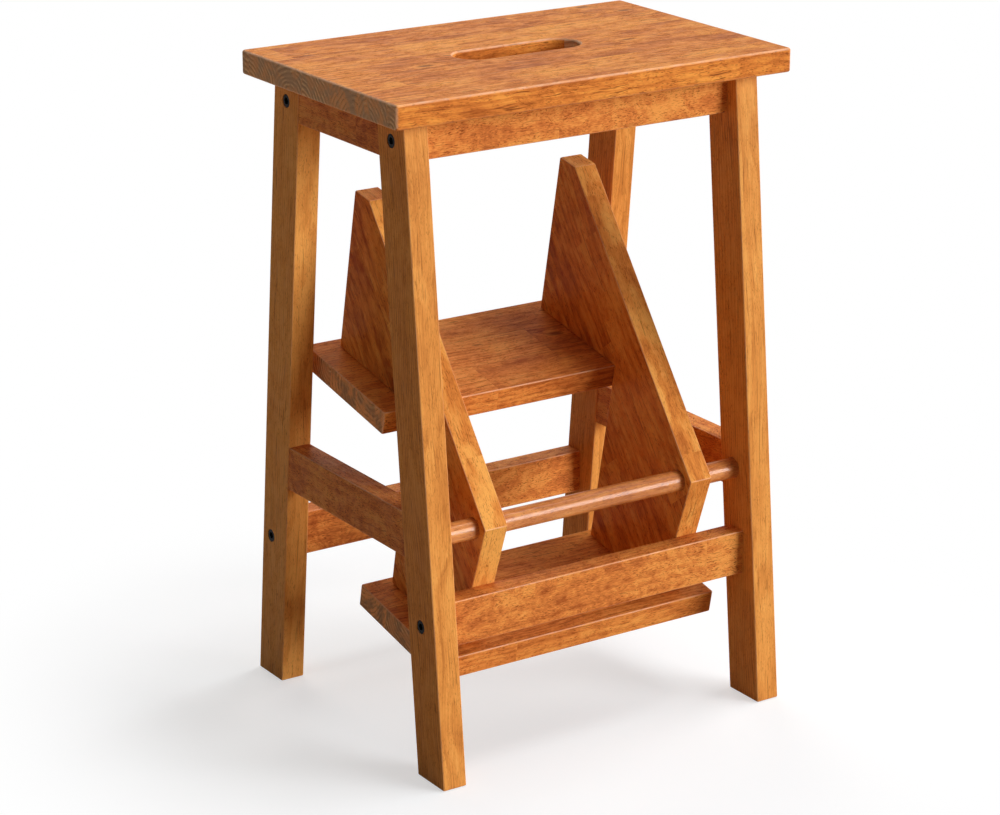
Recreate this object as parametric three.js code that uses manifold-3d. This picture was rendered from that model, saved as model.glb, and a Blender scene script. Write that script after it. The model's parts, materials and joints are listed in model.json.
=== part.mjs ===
// A folding step stool chair: a wooden stool with two steps stored under its seat. The steps turn on a
// round rod between the front legs, swing forward and down, and stand on the floor in front of the stool.
// Millimetres, +Z up, floor at z = 0, front at -Y, left at -X. The steps are shown stored.

import * as THREE from 'three';
import { mergeVertices } from 'three/addons/utils/BufferGeometryUtils.js';
import Module from 'manifold-3d';

// Seat board
const seatHeight = 610;
const seatThickness = 22;
const seatEndOverhang = 20.5;
const seatFrontOverhang = 22.75;
const seatArris = 3;
const seatCorner = 5;
const slotLength = 128;
const slotWidth = 40;

// Legs, splayed front to back: each spread is taken over the outer faces of a front and a back leg
const frameWidth = 371;
const legWidth = 24;
const legDepth = 43;
const legSpreadTop = 216.5;
const legSpreadFloor = 330.5;
const legArris = 1.5;
const legEndArris = 1;

// Long rails between the side frames; each setback is taken from the leg's outer face at the rail's top,
// and the stretchers lie a gap above the stored upper tread
const railThickness = 21;
const railArris = 1.5;
const longApronHeight = 38;
const apronSetback = 12;
const longStretcherHeight = 42;
const treadStretcherGap = 25.5;
const frontStretcherSetback = 13;
const backStretcherSetback = 0;

// Short rails within the side frames, with a stub tenon at each end; the middle of the stretchers is
// a little above the pivot rod
const sideRailThickness = 22;
const sideApronHeight = 36;
const sideStretcherHeight = 42;
const sideStretcherRise = 1.5;
const tenonLength = 9;
const tenonThickness = 8;
const tenonShoulder = 8;
const tenonOffset = 3.5;

// Pivot rod, set back from the front face of the front legs
const rodDiameter = 19;
const rodSetback = 26;
const rodSocketDepth = 9;

// Step unit in use: runs go forward from the rod's axis and rises go up from the floor. The three rises up
// to the seat are even but for what the second and the last have extra. The upper tread hangs at the
// stored height above the floor, and the feet pass the front apron with the swing clearance.
const riseCount = 3;
const secondRiseExtra = 3;
const lastRiseExtra = 64;
const storedHeight = 73;
const swingClearance = 4.6;
const riserRun = 117;
const footWidth = 24.5;
const heelRun = 18;
const heelDrop = 7;
const plateBackRun = 1;
const plateThickness = 24;
const plateInset = 27.5;
const plateArris = 1.2;
const plateCorner = 2;
const treadEndGap = 10.5;
const treadDepth = 140;
const treadThickness = 22;
const treadArris = 2;
const treadCorner = 3;
const secondNosing = 9;

// Socket-head bolts that hold the long rails to the legs, and their barrel nuts
const boltDiameter = 6;
const boltReach = 32;
const boltHeadDiameter = 12;
const boltHeadHeight = 4;
const boltHeadArris = 0.6;
const boltHeadRecess = 0.4;
const boltSocketWidth = 6;
const boltSocketDepth = 2.5;
const boltEdgeDistance = 7.5;
const apronBoltRise = 19;
const stretcherBoltRise = 23;
const nutDiameter = 9;
const nutLength = 16;
const nutInset = 25;

// Locating dowels below the bolts
const railDowelDiameter = 6;
const railDowelLength = 26;
const railDowelDrop = 12;

// Screws through the aprons into the seat board
const screwDiameter = 4;
const screwHeadDiameter = 8;
const screwHeadHeight = 3;
const screwCounterbore = 12;
const screwBite = 14;
const screwInset = 61.5;

// Dowels between the treads and the plates
const treadDowelDiameter = 8;
const treadDowelLength = 30;
const treadDowelDepth = 12;
const treadDowelInset = 26;

// Clearances round fitted and turning pieces, and how far a cut runs past an open face
const fitClearance = 0.3;
const shoulderClearance = 0.2;
const cutOverrun = 1;

// Facets of arcs and round pieces
const arcSteps = 2;
const seatArcSteps = 3;
const slotSteps = 12;
const rodSides = 48;
const boltSides = 20;
const fastenerSides = 12;
const hexSides = 6;

// Sizes that follow from the ones above
const legHeight = seatHeight - seatThickness;
const legSlope = (legSpreadFloor - legSpreadTop) / 2 / legHeight;
const legInnerX = frameWidth / 2 - legWidth;
const legCentreX = frameWidth / 2 - legWidth / 2;
const seatLength = frameWidth + 2 * seatEndOverhang;
const seatDepth = legSpreadTop + 2 * seatFrontOverhang;
const firstStepHeight = (seatHeight - secondRiseExtra - lastRiseExtra) / riseCount;
const secondStepHeight = 2 * firstStepHeight + secondRiseExtra;
const rodHeight = (secondStepHeight + storedHeight) / 2;
const rodY = rodSetback - legOuterY(rodHeight);
const stretcherBottom = storedHeight + treadThickness + treadStretcherGap;
const stretcherTop = stretcherBottom + longStretcherHeight;
const sideStretcherBottom = rodHeight + sideStretcherRise - sideStretcherHeight / 2;
const apronOuterY = legOuterY(legHeight) - apronSetback;
const apronBottom = legHeight - longApronHeight;
const rodReach = legInnerX + rodSocketDepth;
const plateReach = Math.hypot(apronOuterY + rodY, apronBottom - rodHeight) - swingClearance;
const plateFrontRun = Math.sqrt(plateReach ** 2 - rodHeight ** 2);
const firstLedgeRise = firstStepHeight - treadThickness - fitClearance;
const secondLedgeRise = secondStepHeight - treadThickness - fitClearance;
const treadLength = 2 * (legInnerX - treadEndGap);
const plateX = treadLength / 2 - plateInset - plateThickness / 2;

// Materials
const legWood = new THREE.MeshStandardMaterial({ color: 0xc98a45, roughness: 0.42, metalness: 0 });
const railWood = new THREE.MeshStandardMaterial({ color: 0xb96f38, roughness: 0.42, metalness: 0 });
const seatWood = new THREE.MeshStandardMaterial({ color: 0xc67c42, roughness: 0.38, metalness: 0 });
const dowelWood = new THREE.MeshStandardMaterial({ color: 0xd9b27c, roughness: 0.7, metalness: 0 });
const blackSteel = new THREE.MeshStandardMaterial({ color: 0x16130f, roughness: 0.4, metalness: 0.6 });
const zincSteel = new THREE.MeshStandardMaterial({ color: 0xa9a9a4, roughness: 0.35, metalness: 0.9 });

const axisX = new THREE.Vector3(1, 0, 0);
const axisY = new THREE.Vector3(0, 1, 0);
const axisZ = new THREE.Vector3(0, 0, 1);

// Both turn a piece that was extruded along Z: one so that it runs along X, the other along Y
const runAlongX = new THREE.Matrix4().makeBasis(axisY, axisZ, axisX);
const runAlongY = new THREE.Matrix4().makeBasis(axisZ, axisX, axisY);

const left = -1;
const right = 1;
const front = -1;
const back = 1;
const sideNames = { [left]: 'left', [right]: 'right' };
const endNames = { [front]: 'front', [back]: 'back' };

const wasm = await Module();
wasm.setup();

/** Distance of a leg's outer face from the stool's middle plane, at a height. */
function legOuterY(height) {
  return legSpreadTop / 2 + legSlope * (legHeight - height);
}

/** Distance of a leg's inner face from the stool's middle plane, at a height. */
function legInnerY(height) {
  return legOuterY(height) - legDepth;
}

/** A closed geometry as a solid for joining and cutting, moved by a matrix. */
function toSolid(geometry, matrix) {
  const bare = geometry.clone().applyMatrix4(matrix);
  bare.deleteAttribute('normal');
  bare.deleteAttribute('uv');
  const merged = mergeVertices(bare);
  const triangles = [];
  for (let i = 0; i < merged.index.count; i += 3) {
    const corners = [0, 1, 2].map((k) => merged.index.getX(i + k));
    if (new Set(corners).size === 3) {
      triangles.push(...corners);
    }
  }
  return new wasm.Manifold(new wasm.Mesh({
    numProp: 3,
    vertProperties: new Float32Array(merged.attributes.position.array),
    triVerts: new Uint32Array(triangles),
  }));
}

/** A solid as a geometry with flat-shaded faces. */
function toGeometry(solid) {
  const mesh = solid.getMesh();
  const indexed = new THREE.BufferGeometry();
  indexed.setAttribute('position', new THREE.BufferAttribute(mesh.vertProperties, mesh.numProp));
  indexed.setIndex(new THREE.BufferAttribute(mesh.triVerts, 1));
  const geometry = indexed.toNonIndexed();
  geometry.computeVertexNormals();
  return geometry;
}

/** Applies 'add' or 'subtract' to a piece with others that are placed in the same group. */
function combine(operation, piece, others) {
  piece.updateMatrix();
  const toPiece = piece.matrix.clone().invert();
  let solid = toSolid(piece.geometry, new THREE.Matrix4());
  for (const other of others) {
    other.updateMatrix();
    solid = solid[operation](toSolid(other.geometry, toPiece.clone().multiply(other.matrix)));
  }
  piece.geometry = toGeometry(solid);
}

/** A named piece, placed in its group. */
function makePiece(name, geometry, material, x, y, z) {
  const piece = new THREE.Mesh(geometry, material.clone());
  piece.name = name;
  piece.position.set(x, y, z);
  return piece;
}

/** The corners of a rectangle round the origin, anticlockwise. */
function rectangle(width, height) {
  const corners = [[-1, -1], [1, -1], [1, 1], [-1, 1]];
  return corners.map(([u, v]) => new THREE.Vector2(u * width / 2, v * height / 2));
}

/** An outline with every corner turned into an arc of one radius. */
function roundCorners(corners, radius, steps) {
  return corners.flatMap((corner, i) => {
    const toLast = corners.at(i - 1).clone().sub(corner).normalize();
    const toNext = corners[(i + 1) % corners.length].clone().sub(corner).normalize();
    const halfAngle = toLast.angleTo(toNext) / 2;
    const bisector = toLast.clone().add(toNext).normalize();
    const centre = corner.clone().addScaledVector(bisector, radius / Math.sin(halfAngle));
    const spoke = corner.clone().addScaledVector(toLast, radius / Math.tan(halfAngle)).sub(centre);
    const turn = (Math.PI - 2 * halfAngle) * Math.sign(toNext.cross(toLast));
    return Array.from({ length: steps + 1 }, (_, k) => (
      spoke.clone().rotateAround(new THREE.Vector2(), turn * k / steps).add(centre)
    ));
  });
}

/** The outline of a slot with round ends, its length along X. */
function slotOutline(length, width, steps) {
  const path = new THREE.Path();
  const reach = (length - width) / 2;
  path.absarc(reach, 0, width / 2, -Math.PI / 2, Math.PI / 2);
  path.absarc(-reach, 0, width / 2, Math.PI / 2, Math.PI * 1.5);
  return path.getPoints(steps).slice(1);
}

/** An outline extruded from z = 0 up to a thickness, with the arrises of both faces rounded. */
function extrudeBoard(outline, thickness, arris, steps, holes = []) {
  const shape = new THREE.Shape(outline);
  shape.holes = holes.map((hole) => new THREE.Path(hole));
  const geometry = new THREE.ExtrudeGeometry(shape, {
    depth: thickness - 2 * arris,
    bevelEnabled: arris > 0,
    bevelThickness: arris,
    bevelSize: arris,
    bevelOffset: -arris,
    bevelSegments: steps,
  });
  return geometry.translate(0, 0, arris);
}

/** A round bar or cutting tool, centred on a point of its group and running along an axis. */
function roundBar(diameter, length, axis, x, y, z, sides = fastenerSides) {
  const bar = new THREE.Mesh(new THREE.CylinderGeometry(diameter / 2, diameter / 2, length, sides));
  bar.quaternion.setFromUnitVectors(axisY, axis);
  bar.position.set(x, y, z);
  return bar;
}

/** A rectangular tenon or cutting tool, centred on a point of its group. */
function blockBar(width, depth, height, x, y, z) {
  const bar = new THREE.Mesh(new THREE.BoxGeometry(width, depth, height));
  bar.position.set(x, y, z);
  return bar;
}

/** A round peg with the blind hole that takes it on both sides of a joint. */
function makePeg(name, diameter, length, axis, x, y, z) {
  const peg = roundBar(diameter, length, axis, x, y, z);
  peg.name = name;
  peg.material = dowelWood.clone();
  const hole = roundBar(diameter + 2 * fitClearance, length + 2 * fitClearance, axis, x, y, z);
  return { pieces: [peg], holes: [hole] };
}

/** One leg: a bar that leans outwards to the floor, with its top and bottom cut level. */
function makeLeg(side, end) {
  const outline = roundCorners(rectangle(legWidth, legDepth), legArris, arcSteps);
  const geometry = extrudeBoard(outline, legHeight, legEndArris, arcSteps);
  const lean = new THREE.Matrix4().makeShear(0, 0, 0, 0, 0, -end * legSlope);
  geometry.applyMatrix4(lean);
  const name = `leg_${endNames[end]}_${sideNames[side]}`;
  return makePiece(name, geometry, legWood, side * legCentreX, end * (legOuterY(0) - legDepth / 2), 0);
}

/** One long rail between the two side frames. */
function makeLongRail(rail) {
  const outline = roundCorners(rectangle(railThickness, rail.height), railArris, arcSteps);
  const geometry = extrudeBoard(outline, 2 * legInnerX, 0, arcSteps);
  geometry.translate(0, 0, -legInnerX).applyMatrix4(runAlongX);
  return makePiece(rail.name, geometry, railWood, 0, rail.y, rail.bottom + rail.height / 2);
}

/** One short rail of a side frame: its ends follow the legs, and its tenons enter them. */
function makeSideRail(kind, side, bottom, height) {
  const outline = roundCorners(rectangle(height, sideRailThickness), railArris, arcSteps);
  const middle = bottom + height / 2;
  const geometry = extrudeBoard(outline, 2 * legDepth, 0, arcSteps);
  geometry.translate(0, 0, -legDepth).applyMatrix4(runAlongY);
  const positions = geometry.attributes.position;
  for (let i = 0; i < positions.count; i += 1) {
    const endY = legInnerY(middle + positions.getZ(i)) - shoulderClearance;
    positions.setY(i, Math.sign(positions.getY(i)) * endY);
  }
  const rail = makePiece(`${kind}_${sideNames[side]}`, geometry, railWood, side * legCentreX, 0, middle);
  const tenonX = side * (legCentreX + tenonOffset);
  const tenonSpan = 2 * (legInnerY(middle) + tenonLength);
  const tenonHeight = height - 2 * tenonShoulder;
  const slack = 2 * fitClearance;
  const tenon = blockBar(tenonThickness, tenonSpan, tenonHeight, tenonX, 0, middle);
  const mortise = blockBar(
    tenonThickness + slack, tenonSpan + slack, tenonHeight + slack, tenonX, 0, middle,
  );
  combine('add', rail, [tenon]);
  return { rail, mortise };
}

/** The bolt, barrel nut and dowel that hold one end of a long rail to a leg, and their holes. */
function makeRailJoint(rail, side) {
  const boltZ = rail.bottom + rail.boltRise;
  const middleY = legOuterY(boltZ) - legDepth / 2;
  const railY = Math.abs(rail.y);
  const freedom = railThickness / 2 - boltEdgeDistance;
  const boltY = rail.end * THREE.MathUtils.clamp(middleY, railY - freedom, railY + freedom);
  const suffix = `${rail.name}_${sideNames[side]}`;
  const slack = 2 * fitClearance;

  const headOuter = frameWidth / 2 - boltHeadRecess;
  const shankLength = headOuter - boltHeadHeight - legInnerX + boltReach;
  const headRadius = boltHeadDiameter / 2;
  const boltLength = shankLength + boltHeadHeight;
  const profile = [
    new THREE.Vector2(0, 0),
    new THREE.Vector2(boltDiameter / 2, 0),
    new THREE.Vector2(boltDiameter / 2, shankLength),
    new THREE.Vector2(headRadius, shankLength),
    new THREE.Vector2(headRadius, boltLength - boltHeadArris),
    new THREE.Vector2(headRadius - boltHeadArris, boltLength),
    new THREE.Vector2(0, boltLength),
  ];
  const tipX = side * (legInnerX - boltReach);
  const bolt = makePiece(
    `bolt_${suffix}`, new THREE.LatheGeometry(profile, boltSides), blackSteel, tipX, boltY, boltZ,
  );
  bolt.quaternion.setFromUnitVectors(axisY, axisX.clone().multiplyScalar(side));
  const hexDiameter = boltSocketWidth / Math.cos(Math.PI / hexSides);
  const socket = roundBar(
    hexDiameter, 2 * boltSocketDepth, axisX, side * headOuter, boltY, boltZ, hexSides,
  );
  combine('subtract', bolt, [socket]);

  const nutX = side * (legInnerX - nutInset);
  const nut = roundBar(nutDiameter, nutLength, axisZ, nutX, boltY, boltZ);
  nut.name = `barrel_nut_${suffix}`;
  nut.material = zincSteel.clone();
  combine('subtract', nut, [roundBar(boltDiameter + slack, 2 * nutDiameter, axisX, nutX, boltY, boltZ)]);

  const holeLength = boltLength + slack;
  const holeX = side * (headOuter - boltLength / 2);
  const boltHole = roundBar(boltDiameter + slack, holeLength, axisX, holeX, boltY, boltZ);
  const headHoleLength = boltHeadHeight + boltHeadRecess + fitClearance + cutOverrun;
  const headHoleX = side * (frameWidth / 2 + cutOverrun - headHoleLength / 2);
  const headHole = roundBar(
    boltHeadDiameter + slack, headHoleLength, axisX, headHoleX, boltY, boltZ, boltSides,
  );
  const nutTop = boltZ + nutLength / 2 + fitClearance;
  const nutHoleLength = nutTop - rail.bottom + cutOverrun;
  const nutHole = roundBar(
    nutDiameter + slack, nutHoleLength, axisZ, nutX, boltY, nutTop - nutHoleLength / 2,
  );

  const peg = makePeg(
    `dowel_${suffix}`, railDowelDiameter, railDowelLength, axisX,
    side * legInnerX, rail.y, boltZ - railDowelDrop,
  );
  return {
    pieces: [bolt, nut, ...peg.pieces],
    legHoles: [boltHole, headHole, ...peg.holes],
    railHoles: [boltHole, nutHole, ...peg.holes],
  };
}

/** A countersunk-head screw, driven up through an apron into the seat board, and its holes. */
function makeSeatScrew(name, x, y, railBottom) {
  const headBottom = railBottom + screwCounterbore;
  const length = legHeight + screwBite - headBottom;
  const profile = [
    new THREE.Vector2(0, 0),
    new THREE.Vector2(screwHeadDiameter / 2, 0),
    new THREE.Vector2(screwDiameter / 2, screwHeadHeight),
    new THREE.Vector2(screwDiameter / 2, length),
    new THREE.Vector2(0, length),
  ];
  const screw = makePiece(
    name, new THREE.LatheGeometry(profile, fastenerSides), zincSteel, x, y, headBottom,
  );
  screw.quaternion.setFromUnitVectors(axisY, axisZ);
  const slack = 2 * fitClearance;
  const shankHoleLength = length + fitClearance;
  const shankHole = roundBar(
    screwDiameter + slack, shankHoleLength, axisZ, x, y, headBottom + shankHoleLength / 2,
  );
  const headHoleLength = screwCounterbore + screwHeadHeight + fitClearance + cutOverrun;
  const headHole = roundBar(
    screwHeadDiameter + slack, headHoleLength, axisZ,
    x, y, railBottom - cutOverrun + headHoleLength / 2,
  );
  return { pieces: [screw], seatHoles: [shankHole], apronHoles: [shankHole, headHole] };
}

/** The seat board with its hand slot. */
function makeSeatBoard() {
  const outline = roundCorners(rectangle(seatLength, seatDepth), seatCorner, seatArcSteps);
  const slot = slotOutline(slotLength, slotWidth, slotSteps);
  const geometry = extrudeBoard(outline, seatThickness, seatArris, seatArcSteps, [slot]);
  return makePiece('seat_board', geometry, seatWood, 0, 0, legHeight);
}

/** A point of the step unit's side view, in the unit's own frame, from its run and rise in use. */
function unitPoint(run, rise) {
  return new THREE.Vector2(-run, rise - rodHeight);
}

/** The corners of a step plate in side view, in the unit's own frame. */
function plateCorners() {
  return {
    footFront: unitPoint(plateFrontRun, 0),
    ledgeFront: unitPoint(plateFrontRun, firstLedgeRise),
    notch: unitPoint(riserRun, firstLedgeRise),
    topFront: unitPoint(riserRun, secondLedgeRise),
    topBack: unitPoint(plateBackRun, secondLedgeRise),
    heel: unitPoint(-heelRun, rodHeight - heelDrop),
    footBack: unitPoint(plateFrontRun - footWidth, 0),
  };
}

/**
 * The angle in radians through which the step unit swings. Stored, the plates' back edges, from the heel
 * to the second ledge, rest on the rear top arris of the front stretcher; in use, the feet are level.
 */
function foldAngle() {
  const { heel, topBack } = plateCorners();
  const along = topBack.clone().sub(heel).normalize();
  const outward = new THREE.Vector2(along.y, -along.x);
  const stretcherBack = frontStretcher.y + railThickness / 2;
  const arris = new THREE.Vector2(stretcherBack - railArris - rodY, stretcherTop - railArris - rodHeight);
  const edgeDistance = outward.dot(heel) + fitClearance + railArris;
  const swing = Math.acos(edgeDistance / arris.length());
  return Math.atan2(outward.y, outward.x) - Math.atan2(arris.y, arris.x) + swing;
}

/** One stair-shaped step plate. */
function makeStepPlate(side) {
  const outline = roundCorners(Object.values(plateCorners()), plateCorner, arcSteps);
  const geometry = extrudeBoard(outline, plateThickness, plateArris, arcSteps);
  geometry.translate(0, 0, -plateThickness / 2).applyMatrix4(runAlongX);
  return makePiece(`step_plate_${sideNames[side]}`, geometry, railWood, side * plateX, 0, 0);
}

/** One tread, from the run of its front edge and the rise of its top. */
function makeTread(name, frontRun, height) {
  const outline = roundCorners(rectangle(treadLength, treadDepth), treadCorner, arcSteps);
  const geometry = extrudeBoard(outline, treadThickness, treadArris, arcSteps);
  const corner = unitPoint(frontRun, height - treadThickness);
  return makePiece(`step_tread_${name}`, geometry, railWood, 0, corner.x + treadDepth / 2, corner.y);
}

/** The two dowels that join a tread to a plate along one ledge. */
function makeTreadPegs(name, side, backRun, frontRun, ledgeRise) {
  const middleRise = ledgeRise + fitClearance + treadDowelDepth - treadDowelLength / 2;
  const runs = { front: frontRun - treadDowelInset, back: backRun + treadDowelInset };
  return Object.entries(runs).map(([place, run]) => {
    const centre = unitPoint(run, middleRise);
    const pegName = `tread_dowel_${name}_${sideNames[side]}_${place}`;
    return makePeg(
      pegName, treadDowelDiameter, treadDowelLength, axisZ, side * plateX, centre.x, centre.y,
    );
  });
}

const chair = new THREE.Group();
const stoolFrame = new THREE.Group();
const stepUnit = new THREE.Group();
chair.add(stoolFrame, stepUnit);

// The four long rails
const apronPlace = {
  height: longApronHeight,
  bottom: apronBottom,
  boltRise: apronBoltRise,
};
const stretcherPlace = {
  height: longStretcherHeight,
  bottom: stretcherBottom,
  boltRise: stretcherBoltRise,
};
const frontStretcher = {
  ...stretcherPlace,
  name: 'stretcher_front',
  end: front,
  y: front * (legOuterY(stretcherTop) - frontStretcherSetback - railThickness / 2),
};
const backStretcher = {
  ...stretcherPlace,
  name: 'stretcher_back',
  end: back,
  y: back * (legOuterY(stretcherTop) - backStretcherSetback - railThickness / 2),
};
const aprons = [front, back].map((end) => ({
  ...apronPlace,
  name: `apron_${endNames[end]}`,
  end,
  y: end * (apronOuterY - railThickness / 2),
}));

// The stool's own pieces
const seatBoard = makeSeatBoard();
stoolFrame.add(seatBoard);

const legs = {};
for (const side of [left, right]) {
  for (const end of [front, back]) {
    legs[`${side},${end}`] = makeLeg(side, end);
  }
}
stoolFrame.add(...Object.values(legs));

for (const rail of [...aprons, frontStretcher, backStretcher]) {
  const board = makeLongRail(rail);
  for (const side of [left, right]) {
    const joint = makeRailJoint(rail, side);
    combine('subtract', legs[`${side},${rail.end}`], joint.legHoles);
    combine('subtract', board, joint.railHoles);
    stoolFrame.add(...joint.pieces);
    if (aprons.includes(rail)) {
      const name = `seat_screw_${endNames[rail.end]}_${sideNames[side]}`;
      const screw = makeSeatScrew(name, side * (legInnerX - screwInset), rail.y, rail.bottom);
      combine('subtract', board, screw.apronHoles);
      combine('subtract', seatBoard, screw.seatHoles);
      stoolFrame.add(...screw.pieces);
    }
  }
  stoolFrame.add(board);
}

for (const side of [left, right]) {
  const sideApronBottom = legHeight - sideApronHeight;
  const apron = makeSideRail('apron', side, sideApronBottom, sideApronHeight);
  const stretcher = makeSideRail('stretcher', side, sideStretcherBottom, sideStretcherHeight);
  for (const end of [front, back]) {
    combine('subtract', legs[`${side},${end}`], [apron.mortise, stretcher.mortise]);
  }
  const screw = makeSeatScrew(`seat_screw_${sideNames[side]}`, side * legCentreX, 0, sideApronBottom);
  combine('subtract', apron.rail, screw.apronHoles);
  combine('subtract', seatBoard, screw.seatHoles);
  stoolFrame.add(apron.rail, stretcher.rail, ...screw.pieces);
}

// The rod's sockets in the front legs
const rodSocket = roundBar(
  rodDiameter + 2 * fitClearance, 2 * rodReach, axisX, 0, rodY, rodHeight, rodSides,
);
for (const side of [left, right]) {
  combine('subtract', legs[`${side},${front}`], [rodSocket]);
}

// The step unit, drawn as it stands in use and then swung back to where it is stored
stepUnit.position.set(0, rodY, rodHeight);
stepUnit.rotation.x = -foldAngle();

const pivotRod = roundBar(rodDiameter, 2 * (rodReach - fitClearance), axisX, 0, 0, 0, rodSides);
pivotRod.name = 'pivot_rod';
pivotRod.material = railWood.clone();
const rodHole = roundBar(rodDiameter + 2 * fitClearance, 2 * rodReach, axisX, 0, 0, 0, rodSides);

const firstTread = makeTread('first', riserRun + fitClearance + treadDepth, firstStepHeight);
const secondTread = makeTread('second', riserRun + secondNosing, secondStepHeight);
stepUnit.add(pivotRod, firstTread, secondTread);

for (const side of [left, right]) {
  const plate = makeStepPlate(side);
  const firstPegs = makeTreadPegs('first', side, riserRun, plateFrontRun, firstLedgeRise);
  const secondPegs = makeTreadPegs('second', side, plateBackRun, riserRun, secondLedgeRise);
  combine('subtract', plate, [rodHole, ...[...firstPegs, ...secondPegs].flatMap((peg) => peg.holes)]);
  combine('subtract', firstTread, firstPegs.flatMap((peg) => peg.holes));
  combine('subtract', secondTread, secondPegs.flatMap((peg) => peg.holes));
  stepUnit.add(plate, ...[...firstPegs, ...secondPegs].flatMap((peg) => peg.pieces));
}

export default chair;
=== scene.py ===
"""Looks of the folding step stool chair: boards, finishes, floor, lamps and camera.

Sizes are in millimetres and angles in degrees, as the maker writes them. Meshes are in metres, in the
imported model's frame: +Z up, the front at -Y and the left at -X.
"""

import json
import logging
import math
from collections import defaultdict
from dataclasses import dataclass, field
from enum import Enum
from itertools import count
from typing import Callable, Iterable, Sequence

import bpy
from mathutils import Matrix, Vector
from mathutils.geometry import delaunay_2d_cdt


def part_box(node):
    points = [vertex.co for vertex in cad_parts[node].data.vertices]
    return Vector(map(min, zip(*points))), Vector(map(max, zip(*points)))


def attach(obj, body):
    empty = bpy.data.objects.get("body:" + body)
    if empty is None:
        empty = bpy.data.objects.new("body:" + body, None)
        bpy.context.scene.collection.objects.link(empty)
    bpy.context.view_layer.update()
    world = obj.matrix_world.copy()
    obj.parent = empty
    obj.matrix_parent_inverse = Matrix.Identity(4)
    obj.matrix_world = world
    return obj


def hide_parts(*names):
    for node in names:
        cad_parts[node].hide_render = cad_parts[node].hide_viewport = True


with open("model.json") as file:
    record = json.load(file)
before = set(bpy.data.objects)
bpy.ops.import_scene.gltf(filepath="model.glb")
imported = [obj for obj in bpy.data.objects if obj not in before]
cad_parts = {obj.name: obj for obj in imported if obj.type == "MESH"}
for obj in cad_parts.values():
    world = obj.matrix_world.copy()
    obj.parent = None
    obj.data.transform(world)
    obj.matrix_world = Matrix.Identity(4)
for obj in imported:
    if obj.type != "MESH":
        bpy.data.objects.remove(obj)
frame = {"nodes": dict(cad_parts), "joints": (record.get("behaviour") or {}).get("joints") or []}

MM = 0.001
MERGE_DISTANCE = 1e-6
SHARPEST_MITRE = 0.2
BORE_SIDES = 48
log = logging.getLogger("stool")

Loop = list[Vector]
Pair = tuple[float, float]
Triple = tuple[float, float, float]
Colour = Triple

X = Vector((1.0, 0.0, 0.0))
Y = Vector((0.0, 1.0, 0.0))
Z = Vector((0.0, 0.0, 1.0))


# Shader nodes


def operator(operation: str, swapped: bool = False) -> Callable[["Value", object], "Value"]:
    """Makes one of Value's arithmetic methods.

    Args:
        operation: What its Math node does.
        swapped: Whether self is the second number.

    Returns:
        The method.
    """

    def method(self: "Value", other: object) -> "Value":
        """Adds one Math node on self and a number or another socket."""
        pair = (other, self) if swapped else (self, other)
        return self.recipe.node("ShaderNodeMath", {"operation": operation}, dict(enumerate(pair)))

    return method


class Value:
    """An output socket of a material's nodes, with the arithmetic of numbers."""

    def __init__(self, recipe: "Recipe", socket: bpy.types.NodeSocket) -> None:
        """Wraps an output socket of a recipe's tree."""
        self.recipe = recipe
        self.socket = socket

    __add__ = operator("ADD")
    __radd__ = operator("ADD", swapped=True)
    __sub__ = operator("SUBTRACT")
    __rsub__ = operator("SUBTRACT", swapped=True)
    __mul__ = operator("MULTIPLY")
    __rmul__ = operator("MULTIPLY", swapped=True)
    __truediv__ = operator("DIVIDE")
    __pow__ = operator("POWER")

    def above(self, least: float) -> "Value":
        """A number from 0 to 1 drawn up so that it starts at a least value."""
        return least + (1 - least) * self


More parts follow.
